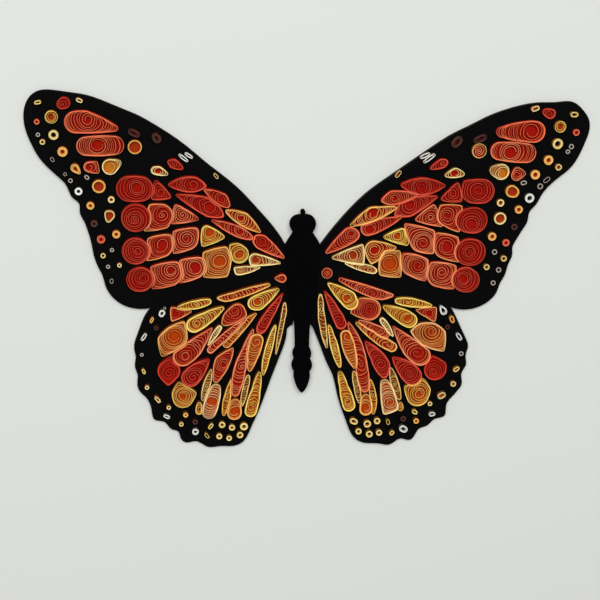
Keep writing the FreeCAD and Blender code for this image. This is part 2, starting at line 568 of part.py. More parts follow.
def pressed_outlines(coils):
    """Outlines of a wing's coils: each gives way to those before it."""
    outlines = []
    for item in coils:
        outline = fine(stretched_outline(item["circles"]))
        for neighbour in outlines:
            outline = pressed_against(outline, neighbour)
        outlines.append(outline)
    return outlines


def eye_point(eye, point):
    x, y, radius = eye
    reach = math.dist((x, y), point)
    return (x + radius * (point[0] - x) / reach, y + radius * (point[1] - y) / reach)


def mixed(a, b, share):
    return (a[0] + share * (b[0] - a[0]), a[1] + share * (b[1] - a[1]))


def spiral_path(edge, eye, turns, room):
    """The strip's middle line from the eye out to just inside the closing turn."""
    count = len(edge)
    steps = turns * count
    rim = [eye_point(eye, point) for point in edge]
    last = 1 - (COIL_WALL + LEAST_GAP_BETWEEN_TURNS) / room
    path = []
    for step in range(steps):
        share = step / count / (turns + 1)
        rise = max(0.0, (step - (steps - count / 2)) / (count / 2))
        share += rise * (last - turns / (turns + 1))
        path.append(mixed(rim[step % count], edge[step % count], share))
    return path


def side_of(path, distance):
    moved = []
    for before, point, after in zip(path[:1] + path[:-1], path, path[1:] + path[-1:]):
        along_x, along_y = after[0] - before[0], after[1] - before[1]
        length = math.hypot(along_x, along_y)
        moved.append((point[0] + distance * along_y / length, point[1] - distance * along_x / length))
    return moved


def wire(points, height):
    corners = [FreeCAD.Vector(x, y, height) for x, y in points]
    return Part.makePolygon(corners + corners[:1])


def standing(outer, hole):
    """A strip standing on the board between an outer outline and a hole."""
    face = Part.Face([wire(outer, BOARD_THICKNESS), wire(hole, BOARD_THICKNESS)])
    return face.extrude(FreeCAD.Vector(0, 0, STRIP_WIDTH))


def crossing(a, b, c, d):
    """Whether the line from a to b crosses the line from c to d."""
    return (turn_side(a, b, c) > 0) != (turn_side(a, b, d) > 0) and (
        (turn_side(c, d, a) > 0) != (turn_side(c, d, b) > 0))


def crosses_itself(outline):
    sides = list(zip(outline, outline[1:] + outline[:1]))
    for index, (a, b) in enumerate(sides):
        for c, d in sides[index + 2:len(sides) - (index == 0)]:
            if crossing(a, b, c, d):
                return True
    return False


def wound_hole(outer, eye, turns):
    """The open space inside a closing turn and round the turns within it."""
    edge = offset(outer, -COIL_WALL / 2)
    inner = offset(outer, -COIL_WALL)
    room = min(math.dist(point, eye_point(eye, point)) for point in edge)
    path = spiral_path(edge, eye, turns, room)
    outer_side = side_of(path, COIL_WALL / 2)
    inner_side = side_of(path, -COIL_WALL / 2)
    return inner[1:] + outer_side[::-1] + inner_side + inner[:1]


def coil_solid(outline, eye):
    """The closing turn and as many turns inside it as fit, or one thicker turn in a slim coil."""
    length = sum(math.dist(a, b) for a, b in zip(outline, outline[1:] + outline[:1]))
    outer = along(outline, max(LEAST_POINTS_ROUND_A_COIL, int(length / COIL_POINT_STEP)))
    holes = [wound_hole(outer, eye, turns) for turns in range(MOST_TURNS, 0, -1)]
    holes.append(offset(outer, -SLIM_COIL_WALL))
    for hole in holes:
        if not crosses_itself(hole) and all(inside(outer, point) for point in hole):
            return standing(outer, hole)
    return standing(outer, [mixed(eye[:2], point, SLIM_HOLE_SHARE) for point in outer])


def ring_solid(circles):
    outer = along(stretched_outline(circles), POINTS_ROUND_A_RING)
    middle = [sum(values) / len(outer) for values in zip(*outer)]
    hole = [mixed(middle, point, RING_HOLE_SHARE) for point in outer]
    return standing(outer, hole)


def body_place(across, up):
    """A point of the body, which sits a little turned between the wings."""
    turn = math.radians(BODY_TURN_DEGREES)
    return (BODY_SHIFT + across * math.cos(turn) - up * math.sin(turn),
            up * math.cos(turn) + across * math.sin(turn))


def outward(points, side):
    """A wing's own outline points, with the small shift of the board below its coils."""
    return [(side * x + BOARD_SHIFT[0], y + BOARD_SHIFT[1]) for x, y in points]


def smooth_edge(points):
    curve = Part.BSplineCurve()
    curve.interpolate([FreeCAD.Vector(x, y, 0) for x, y in points])
    return curve.toShape()


def plate(stretches, height, thickness):
    """A flat plate whose outline is smooth stretches that meet at corners."""
    outline = Part.Wire([smooth_edge(points) for points in stretches])
    solid = Part.Face(outline).extrude(FreeCAD.Vector(0, 0, thickness))
    solid.translate(FreeCAD.Vector(0, 0, height))
    return solid


def placed(points, side):
    return [body_place(side * across, up) for across, up in points]


def wing_side(side, front_edge, rear_edge, slit, slit_side):
    """Stretches of the board on one side, from the head round the wings to the tail."""
    head = placed(HEAD_TAB[::-1], side)
    tail = placed(TAIL_TAB, side)
    neck_corner = outward(front_edge[:1], side)
    slit_corner = outward(slit_side[-1:], side)
    return [
        head,
        head[-1:] + neck_corner,
        outward(front_edge, side),
        outward(rear_edge, side),
        outward(slit, side),
        outward(slit_side, side),
        slit_corner + tail[:1],
        tail,
    ]


def backing_board():
    """One black card plate with all four wings and the strips under the head and the abdomen."""
    left = wing_side(-1, LEFT_FRONT_WING_EDGE, LEFT_REAR_WING_EDGE, LEFT_SLIT, LEFT_SLIT_SIDE)
    right = wing_side(1, RIGHT_FRONT_WING_EDGE, RIGHT_REAR_WING_EDGE, RIGHT_SLIT, RIGHT_SLIT_SIDE)
    back = [points[::-1] for points in right[::-1]]
    return plate(left + back, 0, BOARD_THICKNESS)


def body():
    """The separate raised body: stub, head, thorax and notched abdomen in one plate."""
    half = [BODY_STUB, BODY_HEAD, BODY_SHOULDER, BODY_THORAX, BODY_ABDOMEN, BODY_FIRST_BUMP,
            BODY_SECOND_BUMP, BODY_TAIL]
    right = [placed(points, 1) for points in half]
    left = [placed(points, -1)[::-1] for points in half[::-1]]
    return plate(right + left, BOARD_THICKNESS, BODY_THICKNESS)


def wing_coils(cells, side):
    """Solids of one wing by cell: each coil gives way to those listed before it."""
    coils = [item for cell in cells.values() for item in cell]
    outlines = iter(pressed_outlines(coils))
    shapes = {}
    for cell, items in cells.items():
        solids = [coil_solid(next(outlines), item["eye"]) for item in items]
        shapes[cell] = [solid if side > 0 else mirrored(solid) for solid in solids]
    return shapes


def ring_solids(rings, side):
    solids = [ring_solid(item["circles"]) for item in rings]
    return [solid if side > 0 else mirrored(solid) for solid in solids]


def mirrored(solid):
    return solid.mirror(FreeCAD.Vector(0, 0, 0), FreeCAD.Vector(1, 0, 0))


def export(name, solids):
    shape = solids[0] if len(solids) == 1 else Part.makeCompound(solids)
    shape.exportStep("parts/" + name + ".step")


def main():
    os.makedirs("parts", exist_ok=True)
    export("backing_board", [backing_board()])
    export("body", [body()])
    wings = [
        ("left_forewing", left_forewing(), -1),
        ("right_forewing", right_forewing(), 1),
        ("left_hindwing", left_hindwing(), -1),
        ("right_hindwing", right_hindwing(), 1),
    ]
    for wing, cells, side in wings:
        for cell, solids in wing_coils(cells, side).items():
            export(wing + "_" + cell + "_coils", solids)
    for name, rings, side in [("left", left_rings(), -1), ("right", right_rings(), 1)]:
        for colour, items in rings.items():
            export(name + "_" + colour + "_rings", ring_solids(items, side))


main()
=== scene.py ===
"""Looks of a quilled paper butterfly lying flat: black card wings and body, and coils of paper strip."""

import math
import random

import bmesh
import bpy
from mathutils import Matrix, Vector


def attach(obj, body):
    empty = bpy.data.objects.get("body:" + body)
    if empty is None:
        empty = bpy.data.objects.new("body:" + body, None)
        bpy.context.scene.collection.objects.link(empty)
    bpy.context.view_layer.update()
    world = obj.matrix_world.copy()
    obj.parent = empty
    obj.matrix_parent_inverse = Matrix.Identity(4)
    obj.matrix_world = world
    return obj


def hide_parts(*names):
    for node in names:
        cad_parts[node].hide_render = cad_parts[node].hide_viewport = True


MM = 0.001

# Strips, coils and rings: lengths are in mm, and the rest are shares, counts, powers and degrees
BOARD_TOP = 3.0
STRIP_WIDTH = 3.2
STRIP_THICKNESS = 0.22
GROUND_THICKNESS = 0.2
GAP_BETWEEN_COILS = 0.1
TURN_SPACING = 1.45
LEAST_TURNS = 2
MOST_TURNS = 12
TURN_UNEVENNESS = 0.5
TURN_WAVE = 0.3
SIDE_BAND = 0.35
LEAST_EYE = 0.5
EYE_INSET = 0.4
SMALL_EYE = 1.05
EYE_TAIL = 0.5
EYE_TAIL_REACH = 0.5
MOST_EYE_SHARE = 0.8
CAP_ROUNDNESS = 7
OUTLINE_PULL = 6
TOP_UNEVENNESS = 0.28
CLOSED_TOP_UNEVENNESS = 0.1
COIL_PATH_STEP = 0.75
LEAST_POINTS_ROUND_A_TURN = 22
LEAST_POINTS_ROUND_A_COIL = 28
POINTS_ROUND_A_GROUND = 28
RING_TURN_SPACING = 0.34
POINTS_ROUND_A_RING = 26
SAMPLE_STEP = 0.45
LEAST_POINTS_ROUND_A_CIRCLE = 10
LEAST_POINTS_ROUND_AN_OUTLINE = 16
MOST_STEPS_UNBOWED = 3
SIDE_BOW = 0.04
MOST_SIDE_BOW = 0.5
FOLD_COSINE = -0.8
SHARP_ANGLE = 45

# Depths under a strip's top at which its paler top band begins and is full, in mm: partly the paper's paler
# cut core, partly a painted highlight down the top of its sides
EDGE_AND_HIGHLIGHT_BEGINS = 0.34
EDGE_AND_HIGHLIGHT_FULL = 0.12
# Spacing of the paper's fibres, in mm, and the share by which they lighten and darken its dye
FIBRE_SPACING = 0.8
DYE_MOTTLING = 0.16
# Size and depth of the card's grain, in mm
GRAIN_SIZE = 0.5
GRAIN_DEPTH = 0.05
# Share of its own face colour that a closing turn's face keeps: painted shade on the closing turns
RIM_PAINTED_SHADE = 0.35

# Floor, backdrop and lamp: lengths here are in metres
FLOOR_COLOUR = "DCDED9"
FLOOR_SIZE = 3.0
STUDIO_COLOUR = "FFFFFF"
STUDIO_STRENGTH = 0.3
BACKDROP_STRENGTH = 0.75
SOFTBOX_PLACE = (-0.3, 1.15, 2.5)
SOFTBOX_SIZE = (2.2, 1.2)
KEY_WATTS = 69.0

# Place of the camera and the point it looks at, in mm, and its upward direction
CAMERA_PLACE = (-102.84, 209.66, 771.44)
CAMERA_AIM = (-3.04, -10.81, 6.2)
CAMERA_UP = (-0.00065, 0.96089, -0.27692)
CAMERA_LENS = 80.0
CAMERA_SENSOR = 36.0


def coil(paper, eye, *circles):
    """One paper coil: its open eye (x, y, radius) and the circles its strip is pulled round, in mm."""
    return {"paper": paper, "eye": eye, "circles": circles}


def ring(*circles):
    """One small tight ring."""
    return {"circles": circles}


def open_ring(eye_share, *circles):
    """A ring with a wide open eye, given as a share of its size."""
    return {"circles": circles, "eye_share": eye_share}


def left_forewing():
    """Coils of the left front wing by cell, x counted outward from the middle line."""
    return {
        "tip": [
            coil("red_orange", (128.3, 95.8, 2.0), (135.3, 94.2, 6.5), (130, 94.6, 6.4), (113, 91, 1.9)),
            coil("orange_red", (122.8, 81, 3.0), (129.5, 80.5, 5.6), (113.5, 81.2, 5.6)),
        ],
        "row_1": [
            coil("red", (100.8, 56.5, 3.2), (105, 56, 7.6), (98.6, 56, 7.5)),
            coil("red", (86.8, 54.2, 1.8), (82, 51.6, 1.3), (89.5, 60, 1.2), (91, 51, 1.5), (87, 54, 3.2)),
        ],
        "row_2": [
            coil("red", (102, 37.8, 0.8), (101.3, 38.9, 8.5)),
            coil("red_pale_edge", (85.7, 40.5, 0.8), (86.5, 40.5, 6.9), (93, 46.3, 0.8), (96, 31.8, 0.9),
                 (84.5, 35.5, 3)),
            coil("orange_red", (74, 41, 0.9), (65.5, 38.5, 1.0), (78, 46, 1.2), (80, 36.2, 1.0),
                 (75, 41.5, 4)),
        ],
        "row_3": [
            coil("red", (100, 19, 1.6), (101.3, 18.9, 8.1)),
            coil("red_pale_edge", (86, 22.5, 3.0), (86.3, 22, 6.9), (81.5, 27.7, 1.5), (93.5, 26, 1.0),
                 (94.5, 13.9, 0.9)),
            coil("orange_red", (71.5, 26.7, 1.3), (71.3, 26.3, 6.8), (66.5, 31.3, 2.2), (79, 30.6, 0.8),
                 (78.7, 18.3, 1.0)),
            coil("yellow", (57.8, 30.3, 2.9), (50.3, 27.8, 1.3), (59.8, 31.5, 3.2), (61.8, 22.9, 1.2)),
        ],
        "row_4": [
            coil("red", (96.8, 2.4, 1.2), (98.4, 1.7, 7.6), (99.3, 1.5, 7.4)),
            coil("orange_red", (80.5, 7, 2.6), (81.5, 5, 7.6), (92, 9, 0.8), (91, -3.4, 0.8),
                 (77, 11.3, 1.5)),
            coil("orange_red", (66.3, 9.3, 3.4), (67, 8.7, 6.8), (75, 13, 0.8), (75, 0.2, 0.8),
                 (63, 14.3, 1.2)),
            coil("orange", (52, 13, 3.8), (52, 13.2, 7.3), (48.6, 20.6, 1.5), (61, 17.8, 1.0),
                 (60.6, 3.8, 0.9), (48, 4.6, 1.4)),
            coil("yellow", (40, 17, 3), (40.2, 17.3, 5.6), (41.5, 20.8, 3.3), (45.6, 22.6, 0.8)),
            coil("pale_yellow", (29.8, 14, 2.0), (16, 12.1, 0.7), (31, 14.4, 3.6), (33, 11, 0.8)),
            coil("pale_yellow", (39.3, 7.9, 0.9), (28, 9.3, 0.6), (42.6, 8.6, 0.9), (41, 6.2, 1.8),
                 (37, 6.5, 1.6)),
        ],
        "leading_edge": [
            coil("red", (68, 58.8, 1.8), (68, 59, 4.8), (74, 59, 4.3), (82, 58.6, 0.8), (61.7, 58.2, 1.5)),
            coil("red_orange", (51.3, 50.3, 2.2), (51.3, 50.3, 4.0), (61.5, 56, 0.8), (48, 47, 1.9)),
            coil("orange_yellow", (39.5, 39.5, 2.0), (28.6, 31.2, 0.9), (38.5, 38.7, 4.2), (48, 43.2, 1.2)),
            coil("red_orange", (40, 31.5, 1.5), (33.5, 27.4, 1.6), (41, 31, 3.6), (56.5, 37.6, 0.8)),
            coil("red", (58.5, 45.8, 3.4), (58, 45, 5.6), (60, 46.5, 5.3), (77.5, 52.6, 0.8),
                 (51.2, 40.8, 1.6)),
            coil("red_orange", (26.8, 25.3, 2.2), (13.9, 15.5, 0.9), (27.2, 24.7, 4.6), (29, 25.8, 3.8)),
        ],
    }


def right_forewing():
    """Coils of the right front wing by cell, x counted outward from the middle line."""
    return {
        "tip": [
            coil("red_orange", (132, 93.6, 3.4), (133.7, 93.1, 6.4), (129, 93.2, 6.2), (113.5, 92.6, 3)),
            coil("orange_red", (120, 80.8, 3.4), (113.1, 81.3, 5.3), (129.8, 80.2, 5.7)),
        ],
        "row_1": [
            coil("red", (101.8, 57.3, 2.0), (104.5, 56.8, 7.3), (99, 56.8, 7.1), (93.4, 62.3, 0.8)),
            coil("red", (86.5, 55.2, 1.6), (80.8, 52, 1.2), (89, 60.8, 1.1), (91.3, 51.5, 1.2),
                 (86.5, 55, 3.4)),
        ],
        "row_2": [
            coil("red", (99.5, 37, 3.2), (100.9, 39, 7.9), (97.2, 39, 7.4)),
            coil("red_pale_edge", (84, 42, 1.8), (84.8, 41.7, 6.5), (80.3, 47.1, 1.2), (92, 47.3, 0.8),
                 (91.5, 32.8, 0.9)),
            coil("orange_red", (74, 40.5, 1.2), (65.7, 39.3, 1.0), (75.3, 47.4, 1.2), (74.5, 40.3, 3.7),
                 (81, 35.8, 0.8)),
        ],
        "row_3": [
            coil("red", (99.2, 19.3, 1.0), (101, 19.2, 8.2), (98.7, 19.5, 8.2)),
            coil("red_pale_edge", (85, 22.4, 3.4), (84.5, 22.5, 7.2), (78.8, 30, 1.2), (91, 28, 0.8),
                 (93, 14, 0.8)),
            coil("orange_red", (70.3, 24.8, 1.4), (69.5, 26.3, 7.2), (59.2, 35.8, 1.0), (63, 34, 1.8),
                 (76, 32, 1.0), (76.5, 19, 0.8)),
            coil("yellow", (54.5, 29.4, 2.2), (47, 28.3, 0.9), (57.2, 31, 2.8), (60.3, 24.4, 1.1)),
        ],
        "row_4": [
            coil("red", (96.5, 2.5, 2.8), (97.8, 2.2, 7.8), (99.5, 1.5, 7.3)),
            coil("orange_red", (83, 6.8, 1.3), (81.8, 5.3, 7.8), (76.5, 12, 1.0), (91, 10.3, 0.8),
                 (90.5, -3.1, 0.8)),
            coil("orange_red", (68, 10.9, 1.6), (64.7, 11.3, 6.8), (67, 10.5, 6.3), (73.5, 14, 0.8),
                 (72.8, 1.9, 0.8), (58.8, 17, 1.4)),
            coil("orange", (50.4, 12, 3.5), (50.3, 11.9, 6.4), (48.5, 18.1, 1.8), (56, 19.2, 0.8),
                 (57.2, 4.3, 0.8), (46, 6, 1.5)),
            coil("orange_yellow", (40.8, 20.3, 2.6), (40.5, 20.5, 5.5), (39.6, 12.4, 0.8), (53.5, 22, 0.6)),
            coil("pale_yellow", (28, 16.8, 2.3), (16.3, 15.5, 0.9), (28, 16.8, 3.7), (33.4, 23.2, 0.6),
                 (34.2, 12.2, 0.8)),
            coil("pale_yellow", (38.3, 8.4, 1.0), (24, 12, 0.6), (38, 8.6, 2.4), (41.3, 7.5, 1.8)),
        ],
        "leading_edge": [
            coil("red", (67.5, 58.5, 1.6), (66.5, 59.5, 5.2), (72, 59.4, 4.6), (81, 60, 0.7),
                 (56.2, 60, 1.4)),
            coil("red_orange", (51.5, 51.6, 1.6), (50.5, 52.2, 4.5), (65, 54.6, 0.8), (44.8, 50.7, 1.4)),
            coil("orange_yellow", (39, 42.8, 2.0), (26.2, 35.3, 0.7), (38.5, 42.3, 4.4), (43, 43.6, 3.2),
                 (52.5, 46.3, 0.7)),
            coil("red_orange", (37.5, 33.4, 2.5), (36.4, 33.6, 4.5), (43, 35.2, 3.4), (56, 40.6, 0.6)),
            coil("red", (60.5, 47.8, 2.5), (60, 46.8, 6.0), (76.8, 53.2, 0.7), (53, 42.2, 1.2)),
            coil("red_orange", (26.3, 30.2, 1.8), (12.2, 18.8, 0.9), (25.8, 29.3, 5.0), (27.6, 29.5, 3.8)),
        ],
    }


def left_hindwing():
    """Coils of the left rear wing by cell, x counted outward from the middle line."""
    return {
        "front_edge": [
            coil("orange_yellow", (43.3, -8.6, 0.8), (22.3, -1.5, 1.2), (43, -8.6, 2.5), (48, -9.8, 2.3),
                 (52.3, -9.8, 0.9)),
        ],
        "front_cell": [
            coil("yellow", (64.5, -13.8, 0.7), (58, -12, 1.9), (65, -13.8, 2.8), (70, -14.6, 2.3),
                 (76, -15.6, 0.8)),
            coil("red_pale_edge", (77, -19.3, 2.0), (77, -19.2, 3.2), (80, -16, 0.7), (79.5, -23.6, 0.8),
                 (68.5, -18.1, 0.6)),
        ],
        "upper_cell": [
            coil("yellow", (65, -25.6, 1.6), (49.5, -16, 1.1), (60, -22.8, 4.2), (66.5, -26.6, 4.8)),
            coil("orange", (78.2, -34, 3.1), (77.6, -34, 7.5), (72.8, -25, 1.0), (85.3, -35.6, 2.9),
                 (85, -45.2, 1.2)),
        ],
        "middle_cell": [
            coil("orange_red", (71.8, -45.8, 2.2), (55.6, -28.4, 0.5), (66.7, -42.2, 5.2), (73, -46.6, 6.1)),
            coil("deep_red", (81, -57, 1.2), (81.2, -55.5, 6.9), (80, -47.4, 1.2), (81.5, -63.5, 1.4)),
        ],
        "lower_cell": [
            coil("red", (66.5, -59.5, 1.2), (57.3, -48.6, 0.8), (64, -55.3, 5.0), (68, -60, 5.9)),
            coil("yellow_orange_turns", (72.3, -71.7, 2.4), (72.5, -73, 6.4), (75, -64.2, 1.4),
                 (65.5, -70, 1.2), (78, -70, 1.4)),
        ],
        "tail_cell": [
            coil("red_pale_edge", (48.6, -51.2, 1.8), (43, -41.7, 0.8), (49, -50, 4.8), (51.3, -57, 3.5),
                 (52.6, -61.3, 2.0)),
            coil("peach", (55.2, -75.6, 3.0), (52.7, -67, 3.1), (55, -76, 4.7), (56.5, -82.4, 4.3)),
            coil("olive_yellow", (58, -65.5, 0.9), (55.7, -55, 0.6), (58.3, -65, 2.5), (60.4, -74, 1.2)),
            coil("amber", (62.5, -80.3, 1.1), (62.6, -77.2, 1.6), (62.6, -81.6, 2.4)),
        ],
        "orange_fan": [
            coil("orange", (28.4, -37.4, 1.9), (28.5, -36.3, 4.2), (31, -48, 3.2), (32.3, -55, 1.3)),
            coil("orange", (40.8, -82, 3.0), (41, -83, 4.6), (40.7, -77, 3.3)),
            coil("orange_red", (37.2, -53, 0.9), (30.8, -29.6, 0.7), (35.4, -43, 2.3), (38.6, -56, 3.9),
                 (40.7, -70, 2.5)),
            coil("olive_yellow", (34.8, -67, 0.7), (33.2, -59.6, 1.4), (34.6, -67, 1.9), (36.6, -78, 1.0)),
            coil("amber", (45.3, -72, 0.8), (42.8, -61, 0.8), (45.4, -72, 2.2), (46.9, -80, 1.9),
                 (47.5, -84, 1.0)),
        ],
        "body_cell": [
            coil("yellow", (28.3, -12.1, 2.3), (16.8, -4.6, 1.2), (28.5, -12.5, 5.0), (30.5, -13, 4.2)),
            coil("red_pale_edge", (42.2, -17.8, 1.5), (40.5, -17.7, 4.6), (45.3, -22.3, 4.3),
                 (48, -25.2, 2.1), (37.4, -20, 2.6)),
            coil("pale_yellow", (51.6, -29, 0.9), (51.1, -28.3, 1.6), (53.6, -31.5, 1.6), (57.8, -39.2, 0.5)),
            coil("orange_red", (52, -37.5, 0.8), (36, -22.6, 0.8), (51.8, -37.2, 2.1), (56.3, -42.4, 2.3)),
            coil("orange_yellow", (39.5, -29.5, 0.8), (29.6, -19.8, 0.8), (37.3, -26.5, 2.4),
                 (46.6, -38.4, 2.7)),
        ],
        "inner_edge": [
            coil("red", (24, -24.5, 1.5), (13.8, -7.2, 0.6), (22.5, -22, 3.1), (25.8, -28.5, 3.2),
                 (26.4, -29.8, 2.7)),
            coil("olive_yellow", (12.5, -19.5, 0.6), (12.2, -13, 0.8), (12.3, -18, 1.6), (12.9, -22, 1.5),
                 (16.6, -45, 0.5)),
            coil("yellow", (20, -40, 0.8), (17.4, -27.1, 0.7), (18.6, -31, 1.6), (22.6, -48.5, 2.2),
                 (24, -58, 0.8)),
            coil("yellow", (30.6, -80, 1.1), (26.3, -57.6, 1.2), (28, -68, 2.8), (31, -82, 3.8)),
        ],
    }


def right_hindwing():
    """Coils of the right rear wing by cell, x counted outward from the middle line."""
    return {
        "front_edge": [
            coil("orange_red", (41, -6.9, 0.8), (21.3, 1.8, 1.2), (40, -6.4, 2.6), (47, -8.3, 2.4),
                 (53.3, -7.9, 0.9)),
        ],
        "front_cell": [
            coil("yellow", (63, -12.1, 0.7), (57, -11.4, 1.8), (63, -12.1, 2.7), (69, -13, 2.4),
                 (77.6, -14.3, 0.7)),
            coil("red_pale_edge", (77, -19, 2.2), (77, -19.1, 3.2), (80.6, -16, 0.6), (80.3, -23.8, 0.7),
                 (69.3, -17.3, 0.6)),
        ],
        "upper_cell": [
            coil("yellow", (63.5, -22.3, 2.5), (49, -15.3, 1.0), (60, -20.8, 4.5), (65, -23.8, 4.6)),
            coil("orange_pale_edge", (79, -31, 1.2), (78, -33, 7.8), (85, -32.2, 2.9), (86.5, -42.3, 1.4),
                 (71.8, -27.4, 1.6), (66.8, -30.8, 0.8)),
        ],
        "middle_cell": [
            coil("orange_red", (71.4, -45.2, 1.2), (55.2, -28, 0.5), (67, -42, 5.5), (73.3, -46.8, 6.1)),
            coil("deep_red", (82, -57.3, 1.2), (83, -55.5, 6.9), (80.8, -47.6, 1.0), (87.6, -52.5, 2.0)),
        ],
        "lower_cell": [
            coil("red", (67, -58, 1.0), (56.3, -48.2, 0.8), (65, -55.5, 5.6), (68.8, -59.8, 5.9)),
            coil("yellow_orange_turns", (73.8, -71.3, 2.0), (73, -72.5, 7.0), (75.5, -62.8, 1.2),
                 (65.2, -67.4, 1.0), (79, -69, 1.8)),
        ],
        "tail_cell": [
            coil("red", (48.7, -52, 1.5), (38.6, -37.7, 0.7), (46, -47, 4.2), (49.5, -53, 4.9),
                 (51, -58.3, 2.6)),
            coil("peach", (55.5, -77, 1.3), (51.7, -64.6, 2.7), (55.2, -76, 4.6), (53, -83.3, 1.6),
                 (59, -80.8, 1.9)),
            coil("olive_yellow", (57.9, -65, 0.9), (55, -55, 0.8), (58, -64.6, 2.5), (61.3, -74.2, 1.2)),
            coil("amber", (62.6, -79.9, 0.9), (62.3, -78.4, 1.4), (62.5, -80.8, 1.8)),
        ],
        "orange_fan": [
            coil("orange", (26.4, -34, 1.6), (25.8, -33.2, 3.2), (29, -44, 3.6), (32.3, -53.3, 1.2)),
            coil("orange", (40.5, -80.3, 2.5), (40.7, -81.5, 3.9), (40.3, -74, 2.6)),
            coil("orange_red", (35.6, -51.5, 0.9), (27.4, -25.6, 0.7), (33.3, -38, 2.6), (37, -55, 3.7),
                 (39.4, -67.6, 2.6)),
            coil("olive_yellow", (34.3, -66, 0.7), (32.2, -57.4, 1.1), (34.2, -66, 1.9), (36.4, -76.5, 0.9)),
            coil("amber", (44.6, -72, 0.8), (42.5, -62.5, 0.8), (44.7, -72, 2.0), (45.7, -79.6, 1.5),
                 (45.4, -84, 0.8)),
        ],
        "body_cell": [
            coil("yellow", (25.8, -9.4, 2.4), (14.2, -0.9, 0.8), (26.3, -10, 5.0), (28, -12.5, 4.4)),
            coil("red_pale_edge", (39.8, -17, 1.6), (39.8, -16.8, 6.8), (34.6, -12, 2.4), (28.8, -18.6, 0.7)),
            coil("pale_yellow", (48.5, -24.4, 0.9), (48, -23.7, 1.6), (51, -27.5, 1.6), (55, -33.6, 0.5)),
            coil("orange_red", (44.5, -29, 0.9), (34, -24.2, 0.7), (43, -28.3, 2.2), (50.6, -32.5, 2.5)),
            coil("orange_yellow", (52.6, -39.4, 0.9), (32.4, -25.6, 0.7), (44, -35.3, 1.9),
                 (55, -40.9, 3.0)),
        ],
        "inner_edge": [
            coil("red", (22.2, -24.5, 1.5), (12, -5.9, 0.6), (19, -18, 2.5), (22.7, -26, 3.3)),
            coil("olive_yellow", (10, -17, 0.6), (9.3, -8, 0.9), (10, -17, 1.7), (10.9, -28, 1.2),
                 (14.4, -40.6, 0.6)),
            coil("yellow", (19.5, -42, 0.8), (15.4, -27.3, 0.7), (17, -33, 1.5), (20.5, -45, 2.2),
                 (23, -53, 0.9)),
            coil("yellow", (29.2, -76.5, 1.3), (23.7, -58.2, 1.5), (26, -66, 2.5), (30, -78.8, 3.8)),
        ],
    }


